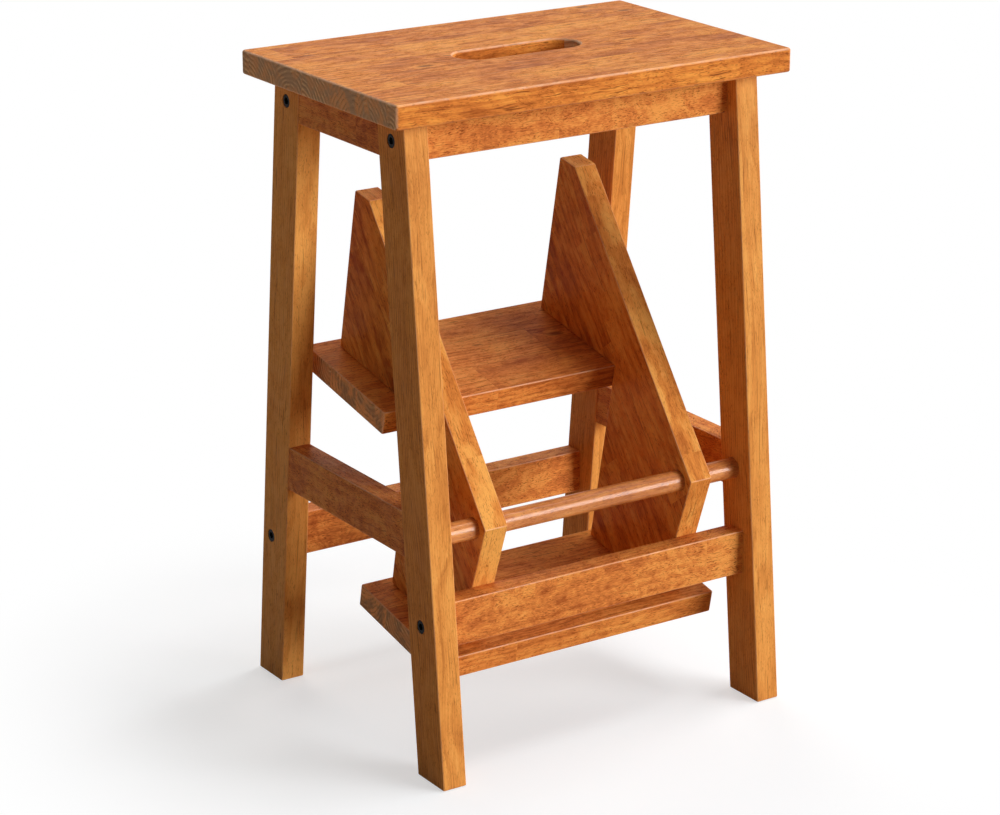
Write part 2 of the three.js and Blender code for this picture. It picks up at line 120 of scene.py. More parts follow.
class Recipe:
    """Builds the nodes of one material or of the world."""

    def __init__(self, owner: bpy.types.Material | bpy.types.World) -> None:
        """Starts from an empty tree.

        Args:
            owner: The material or world whose nodes are built.
        """
        owner.use_nodes = True
        self.tree = owner.node_tree
        self.tree.nodes.clear()

    def node(
        self,
        kind: str,
        settings: dict[str, object] | None = None,
        inputs: dict[str | int, object] | None = None,
        output: str | int = 0,
    ) -> Value:
        """Adds a node.

        Args:
            kind: The node's type name.
            settings: Its own settings, with a ramp's stops under "stops"; they are set first.
            inputs: Values or links for its sockets, by name or place.
            output: The name or place of the output that is returned.

        Returns:
            The output, ready for arithmetic, or nothing where the node has none.
        """
        node = self.tree.nodes.new(kind)
        for name, setting in (settings or {}).items():
            if name == "stops":
                self._set_stops(node.color_ramp, setting)
            else:
                setattr(node, name, setting)
        for name, given in (inputs or {}).items():
            socket = node.inputs[name]
            if isinstance(given, Value):
                self.tree.links.new(given.socket, socket)
            elif isinstance(given, tuple) and socket.type == "RGBA" and len(given) == 3:
                socket.default_value = (*given, 1.0)
            else:
                socket.default_value = given
        outputs = node.outputs
        return Value(self, outputs[output]) if len(outputs) else None

    @staticmethod
    def _set_stops(ramp: bpy.types.ColorRamp, stops: Sequence[tuple[float, Colour]]) -> None:
        """Gives a colour ramp its stops.

        Args:
            ramp: The ramp.
            stops: A place from 0 to 1 and a colour for each stop.
        """
        while len(ramp.elements) < len(stops):
            ramp.elements.new(1.0)
        for element, (place, colour) in zip(ramp.elements, stops):
            element.position = place
            element.color = (*colour, 1.0)

    def vector(self, operation: str, first: object, second: object) -> Value:
        """One Vector Math node on two vectors."""
        return self.node("ShaderNodeVectorMath", {"operation": operation}, {0: first, 1: second})

    def scaled(self, vector: Value, along: float, across: float) -> Value:
        """A grain vector measured in a figure's own lengths along and across the grain."""
        return self.vector("MULTIPLY", vector, (1 / along, 1 / across, 1 / across))

    def noise(self, vector: Value, detail: float = 2.0, rough: float = 0.5, output: int = 0) -> Value:
        """Adds smooth noise of unit size.

        Args:
            vector: The place that it is read at.
            detail: How many finer layers lie over the first.
            rough: How strong those are.
            output: 0 for a number or 1 for a colour.

        Returns:
            The noise.
        """
        return self.node(
            "ShaderNodeTexNoise", {"noise_dimensions": "3D"},
            {"Vector": vector, "Scale": 1.0, "Detail": detail, "Roughness": rough}, output,
        )

    def between(self, value: Value, low: float, high: float) -> Value:
        """Eases a number from 0 to 1.

        Args:
            value: The number.
            low: Where it starts to rise from 0.
            high: Where it reaches 1.

        Returns:
            The eased number.
        """
        return self.node(
            "ShaderNodeMapRange", {"interpolation_type": "SMOOTHSTEP"},
            {"Value": value, "From Min": low, "From Max": high},
        )

    def band(self, value: Value, rise: Pair, fall: Pair) -> Value:
        """A number eased up over one range and down again over a later one."""
        return self.between(value, *rise) * (1 - self.between(value, *fall))

    def mix(self, factor: object, first: object, second: object) -> Value:
        """Two colours mixed by a factor, through the node's own colour sockets."""
        return self.node("ShaderNodeMix", {"data_type": "RGBA"}, {0: factor, 6: first, 7: second}, 2)

    def mark(self, name: str, output: str = "Fac") -> Value:
        """One of the marks that a board's mesh carries."""
        return self.node("ShaderNodeAttribute", {"attribute_name": name}, {}, output)

    def local_noise(self, scale: Triple, detail: float, rough: float) -> Value:
        """Smooth noise on the object's own coordinates, its scale in cells to the metre."""
        here = self.node("ShaderNodeTexCoord", {}, {}, "Object")
        return self.noise(self.vector("MULTIPLY", here, scale), detail, rough)

    def split(self, vector: Value) -> tuple[Value, Value, Value]:
        """Takes a vector apart.

        Args:
            vector: The vector.

        Returns:
            Its three parts.
        """
        first = self.node("ShaderNodeSeparateXYZ", {}, {0: vector})
        outputs = first.socket.node.outputs
        return first, Value(self, outputs[1]), Value(self, outputs[2])

    def joined(self, x: object, y: object, z: object) -> Value:
        """A vector from three numbers."""
        return self.node("ShaderNodeCombineXYZ", {}, {0: x, 1: y, 2: z})

    def finish(self, surface: Value) -> None:
        """Links a shader to the tree's output."""
        world = isinstance(self.tree.id_data, bpy.types.World)
        self.node(f"ShaderNodeOutput{'World' if world else 'Material'}", {}, {"Surface": surface})

    def dress(
        self, relief: Value, strength: float, height: float, looks: dict[str | int, object],
    ) -> None:
        """Ends a material with its surface.

        Args:
            relief: What raises and sinks the surface, as shares of a height.
            strength: How strongly that shows.
            height: The height in millimetres.
            looks: Values or links for the surface's other sockets.
        """
        bump = {"Strength": strength, "Distance": height * MM, "Height": relief}
        looks = {**looks, "Normal": self.node("ShaderNodeBump", {}, bump, "Normal")}
        self.finish(self.node("ShaderNodeBsdfPrincipled", {}, looks))

    def rounded(self, operation: str, value: Value) -> Value:
        """A number's whole part, with FLOOR, or what is left of it, with FRACT."""
        return self.node("ShaderNodeMath", {"operation": operation}, {0: value})

    def stirred(self, vector: Value, along: float, across: float, reach: Triple) -> Value:
        """A grain vector pushed about by smooth noise.

        Args:
            vector: The grain vector.
            along: The noise's own length along the grain.
            across: Its length across the grain.
            reach: How far it pushes, in each direction.

        Returns:
            The pushed vector.
        """
        push = self.noise(self.scaled(vector, along, across), detail=1.0, output=1)
        push = self.vector("MULTIPLY", self.vector("SUBTRACT", push, (0.5, 0.5, 0.5)), reach)
        return self.vector("ADD", vector, push)


# Finishes


def shade(colour: Colour, share: float) -> Colour:
    """A colour made darker or lighter by a share."""
    return tuple(min(1.0, share * part) for part in colour)


class Figure(Enum):
    """How a board was sawn: how far the log's heart lies below it, at the least and at the most."""

    FLAT = (9.0, 42.0)
    CURLY = (22.0, 70.0)
    STRAIGHT = (150.0, 230.0)


@dataclass(frozen=True)
class Spots:
    """Soft spots of noise: their length and width, and the levels at which they start and are full."""

    length: float
    width: float
    low: float
    high: float
    detail: float = 1.0
    rough: float = 0.5

    def mask(self, r: Recipe, grain: Value) -> Value:
        """1 in the spots and 0 between them, at a place in the wood."""
        level = r.noise(r.scaled(grain, self.length, self.width), self.detail, self.rough)
        return r.between(level, self.low, self.high)


@dataclass(frozen=True)
class Stain:
    """How much each mark of the wood deepens the stain, which goes from pale at 0 to deep at 1."""

    base: float = 0.36
    blotch: float = 0.46
    cloud: float = 0.3
    tone: float = 0.36
    rings: float = 0.26
    ring_middle: float = 0.3
    knots: float = 0.22
    strips: float = 0.2
    middle_stop: float = 0.45
    least_pores: float = 0.3
    pore_shade: float = 0.7
    streak_shade: float = 0.55
    core_shade: float = 0.45
    core_share: float = 0.8
    glue_share: float = 0.4
    # The painted arris highlight's least share, where the cloud is lowest.
    least_highlight: float = 0.4


@dataclass(frozen=True)
class Relief:
    """How high the fibres stand and how deep the marks lie, as shares of a height in millimetres."""

    fibre: float = 0.35
    pores: float = 0.9
    streaks: float = 0.4
    rings: float = 0.15
    knots: float = 0.5
    glue: float = 0.5
    strength: float = 0.5
    height: float = 0.25


@dataclass(frozen=True)
class Sheen:
    """How rough and how glossy the lacquer is, and how its marks change that."""

    specular: float = 0.035
    roughness: float = 0.44
    cloud_roughness: float = 0.14
    pore_roughness: float = 0.2
    end_roughness: float = 0.16
    end_loss: float = 0.6
    arris_coat: float = 0.12


@dataclass(frozen=True)
class EndGrain:
    """A sawn end: greyer than the board and patched, with the rings as pale curves."""

    pale: Colour = (1.0, 0.72, 0.40)
    mid: Colour = (1.0, 0.45, 0.19)
    dark: Colour = (0.58, 0.36, 0.235)
    patch: Spots = Spots(30.0, 13.0, 0.36, 0.62, 2.0, 0.55)
    faint: Spots = Spots(22.0, 9.0, 0.44, 0.6)
    line_rise: Pair = (0.1, 0.3)
    line_fall: Pair = (0.4, 0.62)
    least_line: float = 0.2
    least_faint: float = 0.25
    late_rise: Pair = (0.72, 0.86)
    late_share: float = 0.15
    late_faint: float = 0.35
    tone_loss: float = 0.7
    pore_share: float = 0.4
    dark_shade: float = 0.5

    def colour(self, r: Recipe, bent: Value, phase: Value, tone: Value, dash: Value) -> Value:
        """Makes the colour of sawn ends.

        Args:
            r: The material's recipe.
            bent: The place in the wood.
            phase: The place within a ring, from 0 to 1.
            tone: The block's own tone.
            dash: Where the pores are.

        Returns:
            The colour.
        """
        line = r.band(phase, self.line_rise, self.line_fall)
        patch, faint = self.patch.mask(r, bent), self.faint.mask(r, bent)
        darker = shade(self.dark, self.dark_shade)
        late = r.between(phase, *self.late_rise) * (self.late_share + faint * self.late_faint)
        pale = line * ((tone ** 2).above(self.least_line) * faint.above(self.least_faint))
        sawn = r.mix(patch * (1.0 - self.tone_loss * tone), self.dark, self.mid)
        sawn = r.mix(pale, r.mix(late, sawn, darker), self.pale)
        return r.mix(dash * self.pore_share, sawn, darker)


@dataclass(frozen=True)
class WoodFinish:
    """Honey-stained hardwood under satin lacquer. Sizes are in mm, along and across the grain."""

    name: str
    slot: str
    figure: Figure
    pale: Colour
    mid: Colour
    deep: Colour
    stave: float
    block: float
    ring: float
    mottle: float
    curl: float
    fibre: float
    pores: float
    streaks: float
    knots: float
    fibre_run: float = 13.0
    fibre_width: float = 0.95
    fibre_detail: float = 2.0
    fibre_rough: float = 0.6
    pore_run: float = 3.4
    pore_width: float = 0.8
    pore_levels: Pair = (0.57, 0.67)
    pore_rough: float = 0.4
    streak: Spots = Spots(80.0, 1.5, 0.65, 0.73)
    blotch: Spots = Spots(62.0, 22.0, 0.34, 0.66, 2.0, 0.6)
    cloud: Spots = Spots(15.0, 7.0, 0.34, 0.66, 3.0, 0.65)
    curl_size: Pair = (6.0, 19.0)
    sweep: Pair = (150.0, 46.0)
    sweep_reach: Triple = (60.0, 16.0, 16.0)
    wander: Pair = (24.0, 9.0)
    wander_reach: float = 12.0
    sway: float = 3.0
    late_rise: Pair = (0.3, 0.86)
    late_fall: Pair = (0.88, 1.0)
    knot_size: Pair = (74.0, 34.0)
    knot_rings: float = 1.8
    knot_ease: float = 0.005
    swirl_levels: Pair = (0.08, 0.46)
    core_levels: Pair = (0.03, 0.16)
    bond: float = 0.37
    log_run: float = 900.0
    log_spread: float = 1.2
    glue_line: float = 0.5
    coat: float = 0.045
    coat_roughness: float = 0.25
    # A painted highlight: a pale colour painted along the rounded arrises that face up, where light
    # catches them.
    arris_highlight: float = 0.7
    highlight_colour: Colour = (0.98, 0.60, 0.38)
    stain: Stain = Stain()
    relief: Relief = Relief()
    sheen: Sheen = Sheen()
    end_grain: EndGrain = EndGrain()

    def material(self) -> bpy.types.Material:
        """Builds the finish from the grain, end, arris and strip marks that each board carries; the arris
        mark also paints a pale highlight.

        Returns:
            The material.
        """
        made = bpy.data.materials.new(self.name)
        r = Recipe(made)
        end, arris, strip = (r.mark(name) for name in ("end", "arris", "strip"))
        place, tone, glue = self._cut(r, r.mark("grain", "Vector"))
        near, core = self._knot(r, place)
        bent = r.stirred(place, *self.sweep, self.sweep_reach)
        bent = r.stirred(bent, *self.wander, (self.wander_reach, self.sway, self.sway))
        _, across, through = r.split(bent)
        turn = (across * across + through * through) ** 0.5 / self.ring + near * self.knot_rings
        phase = r.rounded("FRACT", turn)
        late = r.band(phase, self.late_rise, self.late_fall)
        pore = Spots(self.pore_run, self.pore_width, *self.pore_levels, rough=self.pore_rough)
        blotch, cloud, dash, streak = (
            spots.mask(r, bent) for spots in (self.blotch, self.cloud, pore, self.streak)
        )
        fibre = r.noise(
            r.scaled(bent, self.fibre_run, self.fibre_width), self.fibre_detail, self.fibre_rough,
        )

        stain = self.stain
        mottle = blotch * stain.blotch + cloud * stain.cloud - (stain.blotch + stain.cloud) / 2
        depth = (stain.base + self.mottle * mottle + (tone - 0.5) * stain.tone
                 + (late - stain.ring_middle) * stain.rings + (fibre - 0.5) * self.fibre
                 - near * stain.knots - strip * stain.strips)
        if self.curl > 0:
            curl = r.noise(r.scaled(bent, *self.curl_size), detail=1.0)
            depth = depth + (curl - 0.5) * self.curl
        stops = [(0.0, self.pale), (stain.middle_stop, self.mid), (1.0, self.deep)]
        marks = dash * (self.pores * cloud.above(stain.least_pores))
        colour = r.node("ShaderNodeValToRGB", {"stops": stops}, {0: depth})
        colour = r.mix(marks, colour, shade(self.deep, stain.pore_shade))
        lines = streak * self.streaks + glue * stain.glue_share
        colour = r.mix(lines, colour, shade(self.deep, stain.streak_shade))
        colour = r.mix(core * stain.core_share, colour, shade(self.deep, stain.core_shade))
        colour = r.mix(end, colour, self.end_grain.colour(r, bent, phase, tone, dash))
        # Painted highlight: the upward arrises are painted pale, as where light catches a rounded edge.
        colour = r.mix(arris * (self.arris_highlight * cloud.above(stain.least_highlight)), colour, self.highlight_colour)

        relief, sheen = self.relief, self.sheen
        height = (fibre * relief.fibre - marks * relief.pores - streak * relief.streaks
                  - late * relief.rings - core * relief.knots - glue * relief.glue)
        r.dress(height, relief.strength, relief.height, {
            "Base Color": colour, "Specular IOR Level": sheen.specular,
            "Roughness": (sheen.roughness + sheen.cloud_roughness * cloud + marks * sheen.pore_roughness
                          + end * sheen.end_roughness),
            "Coat Weight": self.coat * (1 - end * sheen.end_loss) + arris * sheen.arris_coat,
            "Coat Roughness": self.coat_roughness,
        })
        return made

    def _cut(self, r: Recipe, grain: Value) -> tuple[Value, Value, Value]:
        """Cuts the board into its glued staves and blocks, each from its own place in a log.

        Args:
            r: The material's recipe.
            grain: The place in the board.

        Returns:
            The place in the log, the block's own tone and the glue lines.
        """
        along, across, through = r.split(grain)
        turn = across / self.stave + 0.5
        stave = r.rounded("FLOOR", turn)
        block = r.rounded("FLOOR", along / self.block + stave * self.bond)
        chance = r.node("ShaderNodeTexWhiteNoise", {"noise_dimensions": "3D"},
                        {"Vector": r.joined(stave, block, 0.5)}, "Color")
        tone, heart, slide = r.split(chance)
        nearest, farthest = self.figure.value
        place = r.joined(
            along + slide * self.log_run,
            across - stave * self.stave + (slide - 0.5) * (self.log_spread * self.stave),
            through + heart * (farthest - nearest) + nearest,
        )
        edge = r.node("ShaderNodeMath", {"operation": "ABSOLUTE"}, {0: r.rounded("FRACT", turn) - 0.5})
        return place, tone, r.between(edge, 0.5 - self.glue_line / self.stave, 0.5)

    def _knot(self, r: Recipe, place: Value) -> tuple[Value, Value]:
        """Finds the few knots.

        Args:
            r: The material's recipe.
            place: The place in the log.

        Returns:
            The grain's swirl round the knots, and their dark cores.
        """
        length, width = self.knot_size
        cell = r.node(
            "ShaderNodeTexVoronoi", {"voronoi_dimensions": "2D", "feature": "F1"},
            {"Vector": r.vector("MULTIPLY", place, (1 / length, 1 / width, 1.0)), "Scale": 1.0},
            "Distance",
        )
        pick, _, _ = r.split(Value(r, cell.socket.node.outputs["Color"]))
        there = r.between(pick, 1 - self.knots, 1 + self.knot_ease - self.knots)
        swirl, core = (1 - r.between(cell, *levels) for levels in (self.swirl_levels, self.core_levels))
        return there * swirl, there * core


@dataclass(frozen=True)
class SteelFinish:
    """Steel fasteners, blackened or zinc plated. Scales are in noise cells to the metre."""

    name: str
    slot: str
    base: Colour
    worn: Colour
    metallic: float
    roughness: float
    shine: float
    grain_scale: float = 900.0
    cloud_scale: float = 260.0
    scuff_scale: float = 520.0
    cloud_levels: Pair = (0.35, 0.7)
    scuff_levels: Pair = (0.6, 0.75)
    cloud_share: float = 0.5
    scuff_share: float = 0.4
    cloud_roughness: float = 0.15
    grain_roughness: float = 0.1
    bump_strength: float = 0.3
    bump_height: float = 0.1

    def material(self) -> bpy.types.Material:
        """Builds the finish on the object's own coordinates.

        Returns:
            The material.
        """
        made = bpy.data.materials.new(self.name)
        r = Recipe(made)
        grain = r.local_noise((self.grain_scale,) * 3, detail=2.0, rough=0.6)
        cloud = r.local_noise((self.cloud_scale,) * 3, detail=2.0, rough=0.6)
        cloud = r.between(cloud, *self.cloud_levels)
        scuff = r.local_noise((self.scuff_scale,) * 3, detail=1.0, rough=0.5)
        scuff = r.between(scuff, *self.scuff_levels)
        wear = cloud * self.cloud_share + scuff * self.scuff_share
        r.dress(grain, self.bump_strength, self.bump_height, {
            "Base Color": r.mix(wear, self.base, self.worn),
            "Metallic": self.metallic, "Specular IOR Level": self.shine,
            "Roughness": self.roughness + self.cloud_roughness * cloud + self.grain_roughness * grain,
        })
        return made


@dataclass(frozen=True)
class DowelFinish:
    """Bare beech dowels, which only a joint that is taken apart shows. Scales are as for steel."""

    name: str = "bare_dowel"
    slot: str = "dowel_wood"
    pale: Colour = (0.68, 0.45, 0.22)
    deep: Colour = (0.42, 0.25, 0.11)
    fibre_scale: Triple = (900.0, 900.0, 120.0)
    fleck_scale: Triple = (1600.0, 1600.0, 400.0)
    fibre_levels: Pair = (0.3, 0.7)
    fleck_levels: Pair = (0.62, 0.7)
    fleck_share: float = 0.5
    fleck_shade: float = 0.5
    roughness: float = 0.6
    fibre_roughness: float = 0.2
    shine: float = 0.2
    bump_strength: float = 0.5
    bump_height: float = 0.2

    def material(self) -> bpy.types.Material:
        """Builds the finish on the object's own coordinates.

        Returns:
            The material.
        """
        made = bpy.data.materials.new(self.name)
        r = Recipe(made)
        fibre = r.local_noise(self.fibre_scale, detail=3.0, rough=0.6)
        fleck = r.local_noise(self.fleck_scale, detail=1.0, rough=0.5)
        fleck = r.between(fleck, *self.fleck_levels)
        colour = r.mix(r.between(fibre, *self.fibre_levels), self.pale, self.deep)
        r.dress(fibre, self.bump_strength, self.bump_height, {
            "Base Color": r.mix(fleck * self.fleck_share, colour, shade(self.deep, self.fleck_shade)),
            "Roughness": self.roughness + self.fibre_roughness * fibre,
            "Specular IOR Level": self.shine,
        })
        return made


SEAT_WOOD = WoodFinish(
    "seat_boards", "seat_wood", Figure.FLAT,
    pale=(0.83, 0.33, 0.06), mid=(0.66, 0.205, 0.036), deep=(0.37, 0.09, 0.016),
    stave=47.0, block=250.0, ring=4.6, mottle=0.9, curl=0.25, fibre=1.1, pores=0.8, streaks=0.9,
    knots=0.10, fibre_run=16.0,
)
LEG_WOOD = WoodFinish(
    "leg_laths", "leg_wood", Figure.STRAIGHT,
    pale=(0.84, 0.39, 0.095), mid=(0.71, 0.28, 0.06), deep=(0.45, 0.145, 0.028),
    stave=60.0, block=1000.0, ring=3.2, mottle=0.42, curl=0.0, fibre=1.2, pores=0.6, streaks=0.6,
    # The legs' painted arris highlight is weaker.
    knots=0.0, fibre_run=90.0, pore_run=3.4, pore_width=0.6, sway=0.9, arris_highlight=0.25,
)
RAIL_WOOD = WoodFinish(
    "rail_blocks", "rail_wood", Figure.CURLY,
    pale=(0.80, 0.33, 0.075), mid=(0.66, 0.21, 0.046), deep=(0.40, 0.10, 0.022),
    stave=64.0, block=190.0, ring=5.2, mottle=0.8, curl=0.8, fibre=1.4, pores=1.0, streaks=0.4,
    knots=0.02, fibre_run=5.0, pore_run=2.6, pore_width=0.85,
)
ROD_WOOD = WoodFinish(
    "turned_rod", "rail_wood", Figure.CURLY,
    pale=(0.72, 0.30, 0.085), mid=(0.56, 0.19, 0.05), deep=(0.34, 0.10, 0.028),
    stave=64.0, block=400.0, ring=5.2, mottle=0.9, curl=0.4, fibre=0.9, pores=0.6, streaks=0.3,
    knots=0.0, coat=0.55, coat_roughness=0.19,
)
PLATE_WOOD = WoodFinish(
    "plate_boards", "rail_wood", Figure.FLAT,
    pale=(0.84, 0.39, 0.09), mid=(0.68, 0.235, 0.045), deep=(0.38, 0.09, 0.016),
    stave=58.0, block=260.0, ring=5.4, mottle=0.85, curl=0.2, fibre=0.7, pores=0.7, streaks=0.5,
    # The plates' painted arris highlight is weaker.
    knots=0.03, arris_highlight=0.5,
)
TREAD_WOOD = WoodFinish(
    "tread_boards", "rail_wood", Figure.FLAT,
    pale=(0.82, 0.34, 0.075), mid=(0.67, 0.215, 0.045), deep=(0.38, 0.092, 0.018),
    stave=47.0, block=240.0, ring=4.6, mottle=0.9, curl=0.3, fibre=0.85, pores=0.8, streaks=0.7,
    knots=0.06, end_grain=EndGrain(dark=(0.50, 0.27, 0.15)),
)
BLACK_STEEL = SteelFinish(
    "black_oxide", "black_steel",
    base=(0.004, 0.004, 0.005), worn=(0.012, 0.011, 0.011), metallic=0.0, roughness=0.45, shine=0.07,
)
ZINC_STEEL = SteelFinish(
    "zinc_plate", "zinc_steel",
    base=(0.50, 0.51, 0.52), worn=(0.36, 0.35, 0.33), metallic=0.95, roughness=0.3, shine=0.5,
)
BARE_DOWEL = DowelFinish()


# Meshes


def placed(name: str, data: bpy.types.ID) -> bpy.types.Object:
    """Makes an object and puts it in the scene.

    Args:
        name: Its name.
        data: Its mesh, light or camera.

    Returns:
        The object.
    """
    made = bpy.data.objects.new(name, data)
    bpy.context.scene.collection.objects.link(made)
    return made


@dataclass
class Stock:
    """How a board lies in the stock it was cut from. The logs lie end to end, a step apart."""

    grain: Vector
    across: Vector
    centre: Vector
    seed: int
    edges: tuple[Vector, ...] = ()
    log_step: float = 1000.0
    first_log: float = 50.5
    strip_step: float = 170.0
    strip_facing: float = 0.7
    end_facing: float = 0.75

    def places(self, data: bpy.types.Mesh) -> tuple[list[float], list[float], list[float]]:
        """Finds where a piece's corners lie in the stock.

        Args:
            data: The piece's mesh, in metres.

        Returns:
            The places of all face corners, as one row of numbers in millimetres; for each face, 1 where
            it is a sawn end; and for each face, 1 where it is on a listed edge. A listed edge is a strip
            of its own, with the grain along it.
        """
        grain, across = self.grain.normalized(), self.across.normalized()
        through = grain.cross(across)
        places: list[float] = []
        ends: list[float] = []
        strips: list[float] = []
        for face in data.polygons:
            axes, shift = (grain, across, through), 0.0
            turned = abs(face.normal.dot(through)) < self.strip_facing
            strips.append(1.0 if self.edges and turned else 0.0)
            if strips[-1]:
                number, normal = max(enumerate(self.edges), key=lambda item: face.normal.dot(item[1]))
                axes, shift = (normal.cross(through), through, normal), self.strip_step * (number + 1)
            turned = abs(face.normal.dot(grain)) > self.end_facing
            ends.append(1.0 if not self.edges and turned else 0.0)
            for corner in face.loop_indices:
                point = data.vertices[data.loops[corner].vertex_index].co / MM - self.centre
                along, sideways, deep = (point.dot(axis) for axis in axes)
                places += [self.log_step * (self.seed + self.first_log) + shift + along, sideways, deep]
        return places, ends, strips


@dataclass
class Mesh:
    """Points in millimetres and faces, with a mark on the faces that belong to a rounded arris."""

    points: list[Vector] = field(default_factory=list)
    faces: list[tuple[int, ...]] = field(default_factory=list)
    arris: list[float] = field(default_factory=list)

    def moved(self, move: Callable[[Vector], Vector]) -> "Mesh":
        """The same mesh with each point moved by a function."""
        return Mesh([move(point) for point in self.points], list(self.faces), list(self.arris))

    def ring(self, outline: Loop, z: float) -> list[int]:
        """Adds an outline's points at a height.

        Args:
            outline: The outline.
            z: The height.

        Returns:
            The points' numbers.
        """
        start = len(self.points)
        self.points += [Vector((*point, z)) for point in outline]
        return list(range(start, len(self.points)))

    def wall(self, low: list[int], high: list[int], arris: Sequence[float] = ()) -> None:
        """Adds the faces between two rings.

        Args:
            low: The lower ring's points.
            high: The upper ring's points.
            arris: How near each face lies to the crown of an arris.
        """
        following = [*range(1, len(low)), 0]
        self.faces += [(low[i], low[j], high[j], high[i]) for i, j in enumerate(following)]
        self.arris += arris


def rectangle(width: float, height: float) -> Loop:
    """The corners of a rectangle round the origin, anticlockwise."""
    return [Vector((u * width / 2, v * height / 2)) for u, v in ((-1, -1), (1, -1), (1, 1), (-1, 1))]


def rounded(corners: Loop, radius: float, steps: int) -> Loop:
    """An outline with every corner turned into an arc.

    Args:
        corners: The outline's corners, anticlockwise.
        radius: The arcs' radius.
        steps: How many lengths make up each arc.

    Returns:
        The outline's points.
    """
    outline: Loop = []
    for i, corner in enumerate(corners):
        to_last = (corners[i - 1] - corner).normalized()
        to_next = (corners[(i + 1) % len(corners)] - corner).normalized()
        half = to_last.angle(to_next) / 2
        centre = corner + (to_last + to_next).normalized() * (radius / math.sin(half))
        spoke = corner + to_last * (radius / math.tan(half)) - centre
        sign = 1.0 if to_next.x * to_last.y - to_next.y * to_last.x > 0 else -1.0
        for k in range(steps + 1):
            angle = (math.pi - 2 * half) * sign * k / steps
            turned = Vector((
                spoke.x * math.cos(angle) - spoke.y * math.sin(angle),
                spoke.x * math.sin(angle) + spoke.y * math.cos(angle),
            ))
            outline.append(centre + turned)
    return outline


def slot_outline(length: float, width: float, steps: int) -> Loop:
    """Draws a slot with round ends, clockwise so that it is a hole.

    Args:
        length: Its length, along X.
        width: Its width.
        steps: How many lengths make up each end.

    Returns:
        The outline's points.
    """
    reach = (length - width) / 2
    points = []
    for centre, start in ((reach, -90.0), (-reach, 90.0)):
        for k in range(steps + 1):
            angle = math.radians(start + 180.0 * k / steps)
            points.append(Vector((centre + width / 2 * math.cos(angle), width / 2 * math.sin(angle))))
    return points[::-1]


def inset(loop: Loop, distance: float) -> Loop:
    """A loop moved inwards into the wood, which lies on the left of its direction.

    Args:
        loop: The loop's points.
        distance: How far it moves.

    Returns:
        The moved points.
    """
    moved: Loop = []
    for i, point in enumerate(loop):
        before = (point - loop[i - 1]).normalized()
        after = (loop[(i + 1) % len(loop)] - point).normalized()
        normal = Vector((-before.y - after.y, before.x + after.x)).normalized()
        share = normal.dot(Vector((-before.y, before.x)))
        moved.append(point + normal * (distance / max(share, SHARPEST_MITRE)))
    return moved


def crown(steps: int, step: int) -> float:
    """How near a facet of a rounding lies to the rounding's crown, from 0 to 1."""
    return math.sin(math.pi * (step + 0.5) / steps) ** 2


def corner_crowns(loop: Loop, steps: int) -> list[float]:
    """How near each side of a rounded loop lies to a corner's crown, and 0 for the straight sides."""
    return [crown(steps, i % (steps + 1)) if i % (steps + 1) < steps else 0.0 for i in range(len(loop))]


def prism(
    loops: Sequence[Loop], depth: float, arris: float, steps: int = 4, corner_steps: int = 0,
) -> Mesh:
    """A board: outlines extruded from z = 0 to a depth, with the arrises of both faces rounded.

    Args:
        loops: The outer outline, anticlockwise, and then any holes, clockwise.
        depth: The board's thickness.
        arris: The radius of its arrises, or 0 for sharp ends.
        steps: How many facets round an arris.
        corner_steps: How many sides each corner of the outer outline has, or 0 for sharp corners.

    Returns:
        The board's mesh.
    """
    levels = [(0.0, 0.0), (0.0, depth)]
    if arris > 0:
        arc = [math.radians(90.0 * k / steps) for k in range(steps + 1)]
        bottom = [(arris * (1 - math.sin(a)), arris * (1 - math.cos(a))) for a in arc]
        levels = bottom + [(inwards, depth - z) for inwards, z in reversed(bottom)]
    made = Mesh()
    caps: list[list[list[int]]] = [[], []]
    for loop in loops:
        rings = [made.ring(inset(loop, inwards), z) for inwards, z in levels]
        upright = [0.0] * len(loop)
        if corner_steps and loop is loops[0]:
            upright = corner_crowns(loop, corner_steps)
        for level, (low, high) in enumerate(zip(rings, rings[1:])):
            rounding = [crown(steps, level % (steps + 1))] * len(loop)
            made.wall(low, high, upright if level == len(rings) // 2 - 1 else rounding)
        caps[0].append(rings[0])
        caps[1].append(rings[-1])
    for cap, flip in zip(caps, (True, False)):
        for face in filled(made.points, cap):
            made.faces.append(face[::-1] if flip else face)
            made.arris.append(0.0)
    return made


def filled(points: Sequence[Vector], rings: Sequence[Sequence[int]]) -> list[tuple[int, ...]]:
    """The faces of a flat cap between an outer ring and its holes.

    Args:
        points: All points.
        rings: The point numbers of the outer ring and of each hole.

    Returns:
        One face, or the triangles round the holes, all facing +Z.
    """
    if len(rings) == 1:
        return [tuple(rings[0])]
    order = [i for ring in rings for i in ring]
    flat = [Vector((points[i].x, points[i].y)) for i in order]
    edges, start = [], 0
    for ring in rings:
        edges += [(start + k, start + (k + 1) % len(ring)) for k in range(len(ring))]
        start += len(ring)
    _, _, faces, *_ = delaunay_2d_cdt(flat, edges, [], 0, MERGE_DISTANCE)
    holes = [[points[i] for i in ring] for ring in rings[1:]]
    kept = []
    for face in faces:
        middle = sum((flat[k] for k in face), Vector((0.0, 0.0))) / len(face)
        if not any(inside(middle, hole) for hole in holes):
            kept.append(tuple(order[k] for k in face))
    return kept


def sides_of(loop: Sequence[Vector]) -> Iterable[tuple[Vector, Vector]]:
    """The start and the end of each side of a loop."""
    return zip(loop, [*loop[1:], loop[0]])


